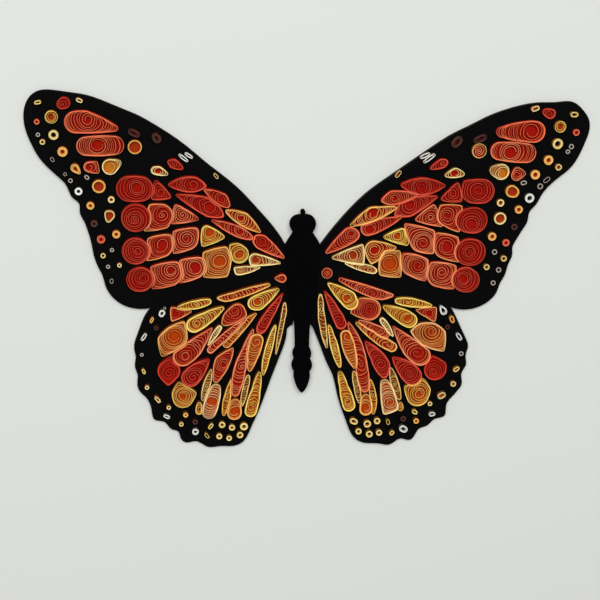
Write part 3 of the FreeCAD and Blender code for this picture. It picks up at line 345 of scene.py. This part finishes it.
def left_rings():
    """Small rings of the left wings by colour; two circles make an oval or a drop."""
    return {
        "white": [
            ring((134, 54.2, 2.3)),
            ring((69.3, 75, 0.9), (72.5, 77, 0.9)),
            ring((71.9, 72.9, 0.9), (76, 76.1, 0.9)),
            ring((85.5, -18.9, 1.9), (86, -19.9, 1.7)),
            ring((95.4, -32.6, 1.0), (97.2, -35.5, 1.0)),
            ring((81.4, -85.4, 1.2), (83.3, -84.5, 1.1)),
            ring((64.7, -95.1, 2.1)),
        ],
        "grey": [
            ring((156.4, 86.7, 1.3)),
            ring((148.3, 72.1, 1.0), (148.9, 73, 1.0)),
            ring((128.9, 62.2, 1.2), (129.5, 62.8, 1.2)),
            ring((141.5, 64.1, 1.1)),
            ring((138.5, 60.4, 1.4)),
            ring((115, 19.5, 1.3)),
            ring((117.3, 9.4, 1.3)),
            ring((115.3, 1.0, 1.1), (115.3, 0.1, 1.1)),
            ring((84, -16, 0.9)),
            ring((97.5, -45.2, 1.2)),
        ],
        "pale_yellow": [
            ring((132.3, 106.2, 1.2), (133.8, 106.9, 1.2)),
            ring((154, 82.5, 1.6)),
            ring((115.3, 49.5, 2.0)),
            open_ring(0.7, (116.1, 40.3, 2.9), (117, 37.4, 1.6), (117.2, 41, 2.2)),
            ring((110.7, 10.2, 1.4)),
            coil("pale_red_eye", (88.3, 66.6, 2.1), (88.3, 66.8, 2.8), (90.3, 67, 2.4), (83.6, 65, 1.0)),
            ring((54.2, 63.3, 0.9), (55.5, 64.9, 0.9)),
            coil("pale_amber_eye", (116.6, 68.4, 3.2), (116, 68.7, 4.6), (111.3, 71, 1.9)),
            ring((94.3, -66.1, 1.4)),
            ring((87, -75, 1.1), (88.9, -72.7, 1.0)),
            ring((81.1, -79.2, 1.4)),
        ],
        "yellow": [
            ring((155.4, 105.2, 1.2), (157.2, 104.8, 1.1)),
            ring((147.7, 86.7, 2.9)),
            ring((120.2, 16, 1.6)),
            ring((96, -56.6, 1.0), (96.8, -54.9, 0.9)),
            ring((73.4, -90.1, 1.5)),
            ring((54.7, -90.7, 1.1), (56, -92.5, 1.1)),
            ring((56.9, -98.8, 0.9), (58.3, -96.9, 0.9)),
            ring((48.4, -90.7, 2.1)),
            ring((50, -98.3, 1.9)),
            ring((42.3, -92.6, 2.0)),
            ring((43.9, -99.6, 1.8)),
            ring((34.9, -92, 2.5)),
            ring((37.2, -97.6, 2.1)),
        ],
        "orange": [
            coil("yellow_rust_eye", (148.8, 96.9, 2.2), (148.8, 96.9, 3.7)),
            ring((142.8, 77.1, 2.9)),
            ring((136, 67.8, 2.5), (133.4, 65, 0.9)),
            open_ring(0.74, (122.4, 57.2, 3.9)),
            ring((127.3, 45.8, 2.3)),
            ring((112.5, 28.9, 2.4)),
            open_ring(0.8, (101.8, 80.4, 4.1)),
            ring((91.2, -22.5, 0.9), (92.1, -24.5, 0.9)),
            ring((70.8, -84.1, 1.6)),
        ],
        "red": [
            coil("red", (142.4, 104.4, 0.8), (141.5, 105, 3.4), (142.9, 104.2, 2.9)),
            ring((157, 94, 1.6)),
            coil("red_peach_edge", (127.6, 68.4, 1.4), (123.3, 66, 1.4), (124.1, 70.6, 1.3),
                 (128, 68.5, 3.1)),
            ring((121.3, 25.8, 2.4)),
            coil("red", (79.5, 71, 0.9), (79.5, 71, 2.9), (75, 68.6, 1.2), (81.9, 72, 1.3)),
            coil("red_peach_edge", (14.3, 2.5, 0.9), (14.3, 2.5, 2.7), (18.2, 2.5, 0.7)),
        ],
        "brown": [
            ring((125.2, 35.2, 2.1)),
            ring((89, 85.2, 2.4), (90.1, 86.6, 2.1)),
            ring((100.5, 87.5, 1.7), (103.8, 89.2, 1.9)),
            ring((64.9, -88.7, 1.7)),
            ring((89, -28.4, 1.4)),
        ],
    }


def right_rings():
    """Small rings of the right wings by colour; two circles make an oval or a drop."""
    return {
        "white": [
            ring((134, 53, 2.7)),
            ring((66.4, 76.9, 0.9), (70.4, 78.9, 0.8)),
            ring((68.4, 74.3, 0.8), (73.6, 78.3, 0.8)),
            ring((85.9, -18.2, 2.0), (84.1, -15.2, 0.8)),
            ring((95.7, -33, 1.0), (97.6, -35.7, 0.9)),
            ring((82.2, -85.2, 1.3), (83.5, -85, 1.2)),
            ring((64.6, -94.5, 2.0), (65.8, -95.2, 1.9)),
        ],
        "grey": [
            ring((157, 84.6, 1.4)),
            ring((155.1, 81.5, 1.2)),
            ring((142.7, 63.5, 1.0), (144.5, 65, 1.0)),
            ring((129, 62.2, 1.2), (130.2, 62.5, 1.1)),
            ring((139.9, 60.3, 1.6)),
            ring((114.9, 19.5, 1.5)),
            ring((118.3, 8.3, 1.5)),
            ring((115.5, 0.1, 1.4)),
            ring((98.7, -45.3, 1.3)),
        ],
        "pale_yellow": [
            ring((132, 106.4, 1.3), (134.2, 107.2, 1.2)),
            ring((150.3, 72, 1.8)),
            ring((116.3, 49.9, 2.1)),
            open_ring(0.72, (116.8, 40.3, 3.6)),
            coil("pale_red_eye", (87.3, 67.6, 2.1), (87.3, 67.8, 2.9), (82.1, 66.2, 1.0), (91.4, 67.2, 1.4)),
            ring((52, 65.4, 0.8), (53.7, 67.7, 0.9)),
            coil("pale_amber_eye", (116.4, 67.9, 3.0), (115.3, 68.8, 4.7), (111.2, 69.5, 2.9)),
            ring((95.1, -65.2, 1.6)),
            ring((87.5, -73.2, 1.8), (88.9, -72.4, 1.7)),
            ring((81.1, -78.2, 1.3)),
        ],
        "yellow": [
            ring((156.3, 103.7, 1.4), (158, 103.7, 1.4)),
            ring((148.5, 86.1, 3.0)),
            ring((121, 15.4, 1.7)),
            ring((110.7, 10, 1.7)),
            ring((95.7, -56, 1.2), (97.2, -55, 1.1)),
            ring((71.4, -83.3, 1.3), (72.3, -84, 1.1)),
            ring((54.9, -89.4, 0.9), (55.3, -90.8, 0.9)),
            ring((57.7, -97.8, 1.1), (58.3, -97, 1.1)),
            ring((48.2, -89.3, 1.9)),
            ring((49.8, -97.1, 1.8)),
            ring((42.1, -91.2, 2.2)),
            ring((43.7, -98, 2.0)),
            ring((32.9, -89.1, 1.8), (34.3, -89.8, 1.6)),
            ring((36.8, -96.1, 1.8)),
        ],
        "orange": [
            coil("yellow_rust_eye", (149.2, 96.3, 2.1), (149.2, 96.3, 3.3)),
            ring((143.7, 76.2, 2.7)),
            ring((136.3, 67.3, 2.7)),
            open_ring(0.7, (122.6, 57.1, 3.6), (123.9, 56.5, 3.2)),
            ring((127.9, 45.9, 2.3)),
            ring((112.7, 29.1, 2.4)),
            coil("amber_red_turns", (100.6, 81.2, 0.6), (100.9, 81.2, 4.2)),
            ring((91, -22.2, 1.2), (91.9, -24.3, 1.1)),
            ring((73, -89.6, 1.6)),
        ],
        "red": [
            coil("red", (142.5, 103.9, 0.9), (139.6, 104.9, 2.0), (142.5, 103.9, 2.9), (143.9, 104.8, 1.6)),
            ring((159.3, 93.1, 1.8)),
            coil("red_peach_edge", (125.3, 67, 1.4), (124.8, 66.8, 3.2), (125, 69.4, 2.3), (128.9, 68, 1.3)),
            ring((121.6, 25.3, 2.0)),
            coil("red", (79, 73.2, 1.0), (78.8, 73.3, 2.8), (80.4, 73.9, 2.0), (72.6, 70.4, 0.8)),
            coil("red_peach_edge", (12.8, 5.8, 1.0), (12.8, 5.8, 3.1)),
        ],
        "brown": [
            ring((126, 35.2, 1.8)),
            ring((86, 85.3, 2.3), (88, 87.5, 2.2)),
            ring((98.6, 87.3, 1.6), (102.9, 89.3, 1.8)),
            ring((64.7, -88, 1.6)),
            ring((89, -28, 1.3)),
        ],
    }


# Papers by coil: closing turn, turns within it, and the ground seen at the bottom
COIL_PAPERS = {
    "deep_red": ("deep_red", "deep_red", "red_ground"),
    "red": ("deep_red", "red", "red_ground"),
    "red_orange": ("red", "red_orange", "red_ground"),
    "orange_red": ("red_orange", "orange_red", "red_ground"),
    "red_pale_edge": ("orange", "red_orange", "red_ground"),
    "orange": ("orange", "orange", "orange_ground"),
    "orange_pale_edge": ("peach", "orange", "rust_ground"),
    "orange_yellow": ("amber", "orange", "red_ground"),
    "yellow": ("yellow", "yellow", "orange_ground"),
    "yellow_orange_turns": ("yellow", "amber", "orange_ground"),
    "pale_yellow": ("pale_yellow", "pale_yellow", "rust_ground"),
    "peach": ("peach", "peach", "orange_ground"),
    "olive_yellow": ("olive", "olive", "rust_ground"),
    "amber": ("amber", "amber", "brown"),
    "red_peach_edge": ("orange_red", "red_orange", "red_ground"),
    "amber_red_turns": ("yellow", "orange_red", "red_ground"),
    "pale_red_eye": ("pale_yellow", "pale_yellow", "red_ground"),
    "pale_amber_eye": ("pale_yellow", "pale_yellow", "amber_ground"),
    "yellow_rust_eye": ("yellow", "amber", "rust_ground"),
}
# Papers by ring: closing turn, turns within it, the ground in its eye, and the eye's share of its size
RING_PAPERS = {
    "white": ("white", "white", "black", 0.46),
    "grey": ("grey", "grey", "black", 0.55),
    "pale_yellow": ("pale_yellow", "pale_yellow", "rust_ground", 0.54),
    "yellow": ("yellow", "pale_yellow", "black", 0.5),
    "orange": ("amber", "orange", "rust_ground", 0.42),
    "red": ("orange_red", "red", "red_ground", 0.4),
    "brown": ("brown", "brown", "dark_ground", 0.4),
}
# Face of each dyed paper strip, and its paler top band: partly the paper's paler cut core, partly painted
# highlight. The white paper's darker face is painted shade
PAPERS = {
    # Grounds: the coloured ground under coils and rings, its colour darkened as painted shade at the bottom
    # of the gaps and eyes
    "dark_ground": ("5C1008", "5C1008"),
    "red_ground": ("981206", "981206"),
    "rust_ground": ("96300A", "96300A"),
    "orange_ground": ("A83E08", "A83E08"),
    "amber_ground": ("B87018", "B87018"),
    "deep_red": ("C41008", "DC4630"),
    "red": ("B81208", "E45A42"),
    "red_orange": ("C01E08", "F27C52"),
    "orange_red": ("C2320C", "FE9868"),
    "orange": ("D46010", "FEBE6C"),
    "peach": ("D87A34", "FEDCA2"),
    "amber": ("D07016", "FECA64"),
    "yellow": ("DC8A1E", "FEE272"),
    "pale_yellow": ("D88030", "FEEEA4"),
    "olive": ("985C18", "F6CE7C"),
    "white": ("948C7E", "FFFEF4"),
    "grey": ("443A34", "C0B4A8"),
    "brown": ("2C0A08", "5A3C34"),
    "black": ("0B0A0A", "141212"),
}


def circle_points(x, y, radius, step):
    count = max(LEAST_POINTS_ROUND_A_CIRCLE, int(2 * math.pi * radius / step))
    angles = [2 * math.pi * index / count for index in range(count)]
    return [(x + radius * math.cos(a), y + radius * math.sin(a)) for a in angles]


def turn_side(a, b, c):
    return (b[0] - a[0]) * (c[1] - a[1]) - (b[1] - a[1]) * (c[0] - a[0])


def half_hull(points):
    chain = []
    for point in points:
        while len(chain) > 1 and turn_side(chain[-2], chain[-1], point) <= 0:
            chain.pop()
        chain.append(point)
    return chain[:-1]


def stretched_outline(circles):
    """Anticlockwise outline of a springy strip round the circles: its long sides bow out a little."""
    points = sorted(p for circle in circles for p in circle_points(*circle, SAMPLE_STEP))
    hull = half_hull(points) + half_hull(points[::-1])
    outline = []
    for start, end in zip(hull, hull[1:] + hull[:1]):
        length = math.dist(start, end)
        steps = max(1, int(length / SAMPLE_STEP))
        bow = min(SIDE_BOW * length, MOST_SIDE_BOW) if steps > MOST_STEPS_UNBOWED else 0.0
        for step in range(steps):
            x, y = mixed(start, end, step / steps)
            out = bow * math.sin(math.pi * step / steps) / length
            outline.append((x + out * (end[1] - start[1]), y - out * (end[0] - start[0])))
    return outline


def length_of(outline):
    return sum(math.dist(a, b) for a, b in zip(outline, outline[1:] + outline[:1]))


def along(outline, count):
    """Points at even steps round a closed outline."""
    loop = outline + outline[:1]
    lengths = [math.dist(a, b) for a, b in zip(loop, loop[1:])]
    step = sum(lengths) / count
    points = []
    travelled = 0.0
    for start, end, length in zip(loop, loop[1:], lengths):
        while len(points) < count and len(points) * step <= travelled + length:
            share = (len(points) * step - travelled) / length
            points.append((start[0] + share * (end[0] - start[0]), start[1] + share * (end[1] - start[1])))
        travelled += length
    return points


def fine(outline):
    return along(outline, max(LEAST_POINTS_ROUND_AN_OUTLINE, int(length_of(outline) / SAMPLE_STEP)))


def offset(outline, distance):
    """The closed outline moved outward by the distance, or inward if it is negative."""
    moved = []
    for before, point, after in zip(outline[-1:] + outline[:-1], outline, outline[1:] + outline[:1]):
        along_x, along_y = after[0] - before[0], after[1] - before[1]
        length = math.hypot(along_x, along_y)
        moved.append((point[0] + distance * along_y / length, point[1] - distance * along_x / length))
    return moved


def inside(outline, point):
    x, y = point
    hit = False
    for (ax, ay), (bx, by) in zip(outline, outline[1:] + outline[:1]):
        if (ay > y) != (by > y) and x < ax + (y - ay) * (bx - ax) / (by - ay):
            hit = not hit
    return hit


def longest_run(points, wanted):
    """The longest unbroken stretch of a closed outline whose points are wanted."""
    count = len(points)
    flags = [wanted(point) for point in points]
    if all(flags):
        return points
    best = []
    for start in range(count):
        if flags[start] and not flags[start - 1]:
            run = []
            while flags[(start + len(run)) % count]:
                run.append(points[(start + len(run)) % count])
            best = max(best, run, key=len)
    return best


def pressed_against(outline, neighbour):
    """The outline with its overlap with a neighbour, and a gap beside it, taken away."""
    edge = fine(offset(neighbour, GAP_BETWEEN_COILS))
    if not any(inside(edge, point) for point in outline):
        return outline
    kept = longest_run(outline, lambda point: not inside(edge, point))
    pressed = longest_run(edge, lambda point: inside(outline, point))
    return fine(kept + pressed[::-1])


def pressed_outlines(coils):
    """Outlines of a wing's coils: each gives way to those before it."""
    outlines = []
    for item in coils:
        outline = fine(stretched_outline(item["circles"]))
        for neighbour in outlines:
            outline = pressed_against(outline, neighbour)
        outlines.append(outline)
    return outlines


def mixed_value(a, b, share):
    return a + share * (b - a)


def mixed(a, b, share):
    return (a[0] + share * (b[0] - a[0]), a[1] + share * (b[1] - a[1]))


def turn_shape(edge, eye, share, far):
    """The shape of a turn a share of the way out: a circle round the eye where there is room for one."""
    x, y, radius = eye
    circle = radius + share * (far - radius)
    shape = []
    for point in edge:
        reach = math.dist((x, y), point)
        side = max(reach - SIDE_BAND * (1 - share), min(radius, MOST_EYE_SHARE * reach))
        room = (circle ** -CAP_ROUNDNESS + side ** -CAP_ROUNDNESS) ** (-1 / CAP_ROUNDNESS)
        room = mixed_value(room, reach, share ** OUTLINE_PULL)
        shape.append((x + room * (point[0] - x) / reach, y + room * (point[1] - y) / reach))
    return shape


def wound_turns(outline, eye, chance):
    """The strip's middle line inside the closing turn, from the eye outward, one list of points a turn."""
    edge = offset(outline, -STRIP_THICKNESS)
    edge = along(edge, max(LEAST_POINTS_ROUND_A_TURN, int(length_of(edge) / COIL_PATH_STEP)))
    count = len(edge)
    far = max(math.dist(eye[:2], point) for point in edge)
    radius = max(LEAST_EYE, eye[2] - EYE_INSET)
    turns = max(LEAST_TURNS, min(MOST_TURNS, round((far - radius) / TURN_SPACING)))
    widths = [1 + TURN_UNEVENNESS * chance.uniform(-1, 1) for _ in range(turns)]
    shapes = [turn_shape(edge, (*eye[:2], radius), sum(widths[:turn]) / sum(widths), far)
              for turn in range(turns + 1)]
    first = chance.randrange(count)
    wound = []
    for turn in range(turns):
        wave, start = TURN_WAVE * chance.uniform(0, 1), chance.uniform(0, 2 * math.pi)
        line = []
        for step in range(count + 1):
            place = (first + step) % count
            share = step / count
            share += wave * math.sin(math.pi * share) * math.sin(start + 4 * math.pi * share)
            line.append(mixed(shapes[turn][place], shapes[turn + 1][place], share))
        wound.append(line)
    # The strip's free end curls on into a small eye
    if eye[2] < SMALL_EYE:
        tail = int(EYE_TAIL * count)
        wound[0] = [mixed(eye[:2], shapes[0][(first - step) % count], 1 - EYE_TAIL_REACH * step / tail)
                    for step in range(tail, 0, -1)] + wound[0]
    return wound


def on_side(points, side):
    return [(side * x, y) for x, y in points]


def folds_back(a, b, c):
    """Whether a path turns almost right round at its middle point."""
    first, then = (b[0] - a[0], b[1] - a[1]), (c[0] - b[0], c[1] - b[1])
    lengths = math.hypot(*first) * math.hypot(*then)
    return first[0] * then[0] + first[1] * then[1] < FOLD_COSINE * lengths or lengths == 0.0


def unfolded(path):
    """The path without the points at which it folds back on itself, where a strip would get a spike."""
    kept = []
    for point in path:
        while len(kept) > 1 and folds_back(kept[-2], kept[-1], point):
            kept.pop()
        kept.append(point)
    return kept


def add_strip(bm, path, paper, chance, closed=False):
    """Stands a paper strip on its edge along a path in mm, and gives it its thickness."""
    path = unfolded(path)
    lift = (CLOSED_TOP_UNEVENNESS if closed else TOP_UNEVENNESS) * chance.uniform(-1, 0)
    foot = [bm.verts.new((x * MM, y * MM, BOARD_TOP * MM)) for x, y in path]
    pairs = list(zip(foot, foot[1:])) + ([(foot[-1], foot[0])] if closed else [])
    edges = [bm.edges.new(pair) for pair in pairs]
    raised = bmesh.ops.extrude_edge_only(bm, edges=edges)["geom"]
    top = [part for part in raised if isinstance(part, bmesh.types.BMVert)]
    faces = [part for part in raised if isinstance(part, bmesh.types.BMFace)]
    bmesh.ops.translate(bm, verts=top, vec=(0, 0, (STRIP_WIDTH + lift) * MM))
    shell = bmesh.ops.solidify(bm, geom=faces, thickness=STRIP_THICKNESS * MM)["geom"]
    corners = set(foot) | set(top) | {part for part in shell if isinstance(part, bmesh.types.BMVert)}
    walls = {face for corner in corners for face in corner.link_faces}
    bmesh.ops.recalc_face_normals(bm, faces=list(walls))
    for face in walls:
        face.material_index = paper
        face.smooth = True


def add_ground(bm, outline, paper):
    """Lays the coloured paper ground of a coil on the board."""
    corners = [bm.verts.new((x * MM, y * MM, BOARD_TOP * MM)) for x, y in outline]
    sheet = bm.faces.new(corners)
    raised = bmesh.ops.extrude_face_region(bm, geom=[sheet])["geom"]
    top = [part for part in raised if isinstance(part, bmesh.types.BMVert)]
    bmesh.ops.translate(bm, verts=top, vec=(0, 0, GROUND_THICKNESS * MM))
    faces = list({face for corner in corners + top for face in corner.link_faces})
    bmesh.ops.recalc_face_normals(bm, faces=faces)
    for face in faces:
        face.material_index = paper


def paper_index(papers, name):
    if name not in papers:
        papers.append(name)
    return papers.index(name)


def add_coil(bm, papers, item, outline, side, chance):
    """A coil: its ground, its closing turn and the turns wound inside it."""
    closing, within, ground = COIL_PAPERS[item["paper"]]
    add_ground(bm, on_side(along(outline, POINTS_ROUND_A_GROUND), side), paper_index(papers, ground))
    edge = along(outline, max(LEAST_POINTS_ROUND_A_COIL, int(length_of(outline) / COIL_PATH_STEP)))
    # The closing turn takes the painted-shade copy of its paper, with its face darkened
    rim = paper_index(papers, closing + "_rim")
    add_strip(bm, on_side(offset(edge, -STRIP_THICKNESS / 2), side), rim, chance, closed=True)
    for line in wound_turns(outline, item["eye"], chance):
        add_strip(bm, on_side(line, side), paper_index(papers, within), chance)


def add_ring(bm, papers, item, side, closing, within, ground, eye_share, chance):
    """A small ring of tight turns round a coloured eye."""
    outer = along(stretched_outline(item["circles"]), POINTS_ROUND_A_RING)
    middle = [sum(values) / len(outer) for values in zip(*outer)]
    eye_share = item.get("eye_share", eye_share)
    room = min(math.dist(point, middle) for point in outer) * (1 - eye_share)
    turns = max(1, round(room / RING_TURN_SPACING))
    add_ground(bm, on_side(outer, side), paper_index(papers, ground))
    edge = offset(outer, -STRIP_THICKNESS / 2)
    for turn in range(turns):
        share = 1 - (1 - eye_share) * turn / turns
        # The outer turn takes the painted-shade copy of its paper, with its face darkened
        paper = closing + "_rim" if turn == 0 else within
        line = [mixed(middle, point, share) for point in edge]
        add_strip(bm, on_side(line, side), paper_index(papers, paper), chance, closed=True)


def linear(hex_colour):
    """The linear colour of an sRGB hex value."""
    values = [int(hex_colour[start:start + 2], 16) / 255 for start in (0, 2, 4)]
    return [v / 12.92 if v <= 0.04045 else ((v + 0.055) / 1.055) ** 2.4 for v in values] + [1.0]


def node(tree, kind, settings=None, **links):
    """Adds a shader node, sets its properties and sockets, and links its inputs by socket name."""
    added = tree.nodes.new(kind)
    for key, value in (settings or {}).items():
        if isinstance(key, str) and hasattr(added, key):
            setattr(added, key, value)
        else:
            added.inputs[key].default_value = value
    for key, source in links.items():
        tree.links.new(source, added.inputs[key.replace("_", " ")])
    return added


def blank_material(name):
    material = bpy.data.materials.new(name)
    material.use_nodes = True
    material.node_tree.nodes.clear()
    return material, material.node_tree


def dyed_paper(name, face, edge_colour):
    """Dyed quilling paper, cut into strips: matt, saturated on its face and paler in a band along its top,
    partly its paler cut core and partly painted highlight.
    """
    material, tree = blank_material(name.replace("_", " ") + " quilling paper")
    place = node(tree, "ShaderNodeTexCoord").outputs["Object"]
    height = node(tree, "ShaderNodeSeparateXYZ", Vector=place).outputs["Z"]
    # The paler band shows near the top of the strip alone, the cut core with painted highlight down the
    # sides; strips set lower show less of it
    top = (BOARD_TOP + STRIP_WIDTH) * MM
    edge = node(tree, "ShaderNodeMapRange",
                {"From Min": top - EDGE_AND_HIGHLIGHT_BEGINS * MM, "From Max": top - EDGE_AND_HIGHLIGHT_FULL * MM},
                Value=height).outputs["Result"]
    # Real fibres are finer: they are drawn as coarse as they need to show
    fibres = node(tree, "ShaderNodeTexNoise", {"Scale": 1 / (FIBRE_SPACING * MM), "Detail": 2.0},
                  Vector=place).outputs["Fac"]
    shade = node(tree, "ShaderNodeMapRange", {"To Min": 1 - DYE_MOTTLING, "To Max": 1 + DYE_MOTTLING},
                 Value=fibres).outputs["Result"]
    colour = node(tree, "ShaderNodeMix", {"data_type": "RGBA", 6: face, 7: edge_colour},
                  Factor=edge).outputs[2]
    mottled = node(tree, "ShaderNodeVectorMath", {"operation": "SCALE"}, Vector=colour, Scale=shade)
    surface = node(tree, "ShaderNodeBsdfPrincipled", {"Roughness": 0.8, "Specular IOR Level": 0.06})
    tree.links.new(mottled.outputs["Vector"], surface.inputs["Base Color"])
    node(tree, "ShaderNodeOutputMaterial", Surface=surface.outputs["BSDF"])
    return material


def black_card(name, face, edge_colour, roughness):
    """Black card, cut by knife: a smooth matt face with a faint grain, and a slightly greyer cut side."""
    material, tree = blank_material(name)
    place = node(tree, "ShaderNodeTexCoord").outputs["Object"]
    grain = node(tree, "ShaderNodeTexNoise", {"Scale": 1 / (GRAIN_SIZE * MM), "Detail": 3.0},
                 Vector=place).outputs["Fac"]
    bump = node(tree, "ShaderNodeBump", {"Strength": 0.1, "Distance": GRAIN_DEPTH * MM}, Height=grain)
    upward = node(tree, "ShaderNodeSeparateXYZ",
                  Vector=node(tree, "ShaderNodeNewGeometry").outputs["Normal"]).outputs["Z"]
    # Faces that look upward take the face colour, and the sides and underside take the greyer one
    flat = node(tree, "ShaderNodeMapRange", {"From Min": 0.4, "From Max": 0.8},
                Value=upward).outputs["Result"]
    colour = node(tree, "ShaderNodeMix", {"data_type": "RGBA", 6: linear(edge_colour), 7: linear(face)},
                  Factor=flat).outputs[2]
    surface = node(tree, "ShaderNodeBsdfPrincipled", {"Roughness": roughness, "Specular IOR Level": 0.02},
                   Normal=bump.outputs["Normal"])
    tree.links.new(colour, surface.inputs["Base Color"])
    node(tree, "ShaderNodeOutputMaterial", Surface=surface.outputs["BSDF"])
    return material


def dress_node(name, bm, papers):
    """Turns finished coils or rings into the piece that stands for the CAD node of that name."""
    mesh = bpy.data.meshes.new(name + " strips")
    bm.to_mesh(mesh)
    bm.free()
    mesh.set_sharp_from_angle(angle=math.radians(SHARP_ANGLE))
    piece = bpy.data.objects.new(name + "_strips", mesh)
    bpy.context.scene.collection.objects.link(piece)
    for paper in papers:
        mesh.materials.append(paper_materials[paper])
    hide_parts(name)
    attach(piece, "root")


def dress_wing(wing, cells, side):
    coils = [item for cell in cells.values() for item in cell]
    outlines = iter(pressed_outlines(coils))
    for cell, items in cells.items():
        name = wing + "_" + cell + "_coils"
        chance = random.Random(name)
        bm, papers = bmesh.new(), []
        for item in items:
            add_coil(bm, papers, item, next(outlines), side, chance)
        dress_node(name, bm, papers)


def dress_rings(half, rings, side):
    for colour, items in rings.items():
        name = half + "_" + colour + "_rings"
        chance = random.Random(name)
        bm, papers = bmesh.new(), []
        for item in items:
            if "paper" in item:
                add_coil(bm, papers, item, stretched_outline(item["circles"]), side, chance)
            else:
                add_ring(bm, papers, item, side, *RING_PAPERS[colour], chance)
        dress_node(name, bm, papers)


def paint(node_name, material):
    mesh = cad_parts[node_name].data
    mesh.materials.clear()
    mesh.materials.append(material)


def lay_floor():
    """A plain pale floor under the part."""
    bm = bmesh.new()
    bmesh.ops.create_grid(bm, x_segments=1, y_segments=1, size=FLOOR_SIZE)
    mesh = bpy.data.meshes.new("floor")
    bm.to_mesh(mesh)
    bm.free()
    floor = bpy.data.objects.new("floor", mesh)
    bpy.context.scene.collection.objects.link(floor)
    material, tree = blank_material("matt pale floor paper")
    surface = node(tree, "ShaderNodeBsdfPrincipled",
                   {"Base Color": linear(FLOOR_COLOUR), "Roughness": 0.9, "Specular IOR Level": 0.1})
    node(tree, "ShaderNodeOutputMaterial", Surface=surface.outputs["BSDF"])
    mesh.materials.append(material)


def soft_lamp(name, place, aim, size, watts):
    lamp = bpy.data.lights.new(name, "AREA")
    lamp.shape = "RECTANGLE"
    lamp.size, lamp.size_y = size
    lamp.energy = watts
    holder = bpy.data.objects.new(name, lamp)
    bpy.context.scene.collection.objects.link(holder)
    holder.location = place
    holder.rotation_euler = (Vector(aim) - Vector(place)).to_track_quat("-Z", "Y").to_euler()


def light_the_scene():
    world = bpy.data.worlds.new("soft studio")
    bpy.context.scene.world = world
    world.use_nodes = True
    tree = world.node_tree
    tree.nodes.clear()
    # The pale backdrop is for the eye and for reflections alone, and the softer fill lights the part
    rays = node(tree, "ShaderNodeLightPath").outputs
    seen = node(tree, "ShaderNodeMath", {"operation": "MAXIMUM"})
    tree.links.new(rays["Is Camera Ray"], seen.inputs[0])
    tree.links.new(rays["Is Glossy Ray"], seen.inputs[1])
    through = node(tree, "ShaderNodeMath", {"operation": "MAXIMUM"})
    tree.links.new(seen.outputs["Value"], through.inputs[0])
    tree.links.new(rays["Is Transmission Ray"], through.inputs[1])
    strength = node(tree, "ShaderNodeMapRange", {"To Min": STUDIO_STRENGTH, "To Max": BACKDROP_STRENGTH},
                    Value=through.outputs["Value"]).outputs["Result"]
    sky = node(tree, "ShaderNodeBackground", {"Color": linear(STUDIO_COLOUR)}, Strength=strength)
    node(tree, "ShaderNodeOutputWorld", Surface=sky.outputs["Background"])
    soft_lamp("softbox at the head side", SOFTBOX_PLACE, (0, 0, 0), SOFTBOX_SIZE, KEY_WATTS)


def place_camera():
    camera = bpy.data.objects.new("camera", bpy.data.cameras.new("camera"))
    bpy.context.scene.collection.objects.link(camera)
    bpy.context.scene.camera = camera
    camera.data.lens = CAMERA_LENS
    camera.data.sensor_width = CAMERA_SENSOR
    place, aim = Vector(CAMERA_PLACE) * MM, Vector(CAMERA_AIM) * MM
    back = (place - aim).normalized()
    right = Vector(CAMERA_UP).cross(back).normalized()
    bpy.context.scene.view_settings.view_transform = "Standard"
    turned = Matrix((right, back.cross(right), back)).transposed().to_4x4()
    camera.matrix_world = Matrix.Translation(place) @ turned


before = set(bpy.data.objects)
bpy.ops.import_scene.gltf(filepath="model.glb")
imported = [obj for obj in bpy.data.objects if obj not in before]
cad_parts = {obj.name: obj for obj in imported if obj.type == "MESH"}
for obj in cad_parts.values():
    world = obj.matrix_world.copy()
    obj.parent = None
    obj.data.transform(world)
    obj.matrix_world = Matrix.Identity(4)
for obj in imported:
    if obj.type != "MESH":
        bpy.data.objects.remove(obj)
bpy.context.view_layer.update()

# A closing turn's face is darkened as painted shade, so that against the black card only its pale top shows
paper_materials = {}
for name, (face, edge_colour) in PAPERS.items():
    paper_materials[name] = dyed_paper(name, linear(face), linear(edge_colour))
    painted_shade_face = [RIM_PAINTED_SHADE * value for value in linear(face)[:3]] + [1.0]
    paper_materials[name + "_rim"] = dyed_paper(name + "_rim", painted_shade_face, linear(edge_colour))
paint("backing_board", black_card("matt black card", "060607", "2C2C2E", 0.6))
paint("body", black_card("deep black card", "030304", "0A0A0C", 0.8))
dress_wing("left_forewing", left_forewing(), -1)
dress_wing("right_forewing", right_forewing(), 1)
dress_wing("left_hindwing", left_hindwing(), -1)
dress_wing("right_hindwing", right_hindwing(), 1)
dress_rings("left", left_rings(), -1)
dress_rings("right", right_rings(), 1)
lay_floor()
light_the_scene()
place_camera()
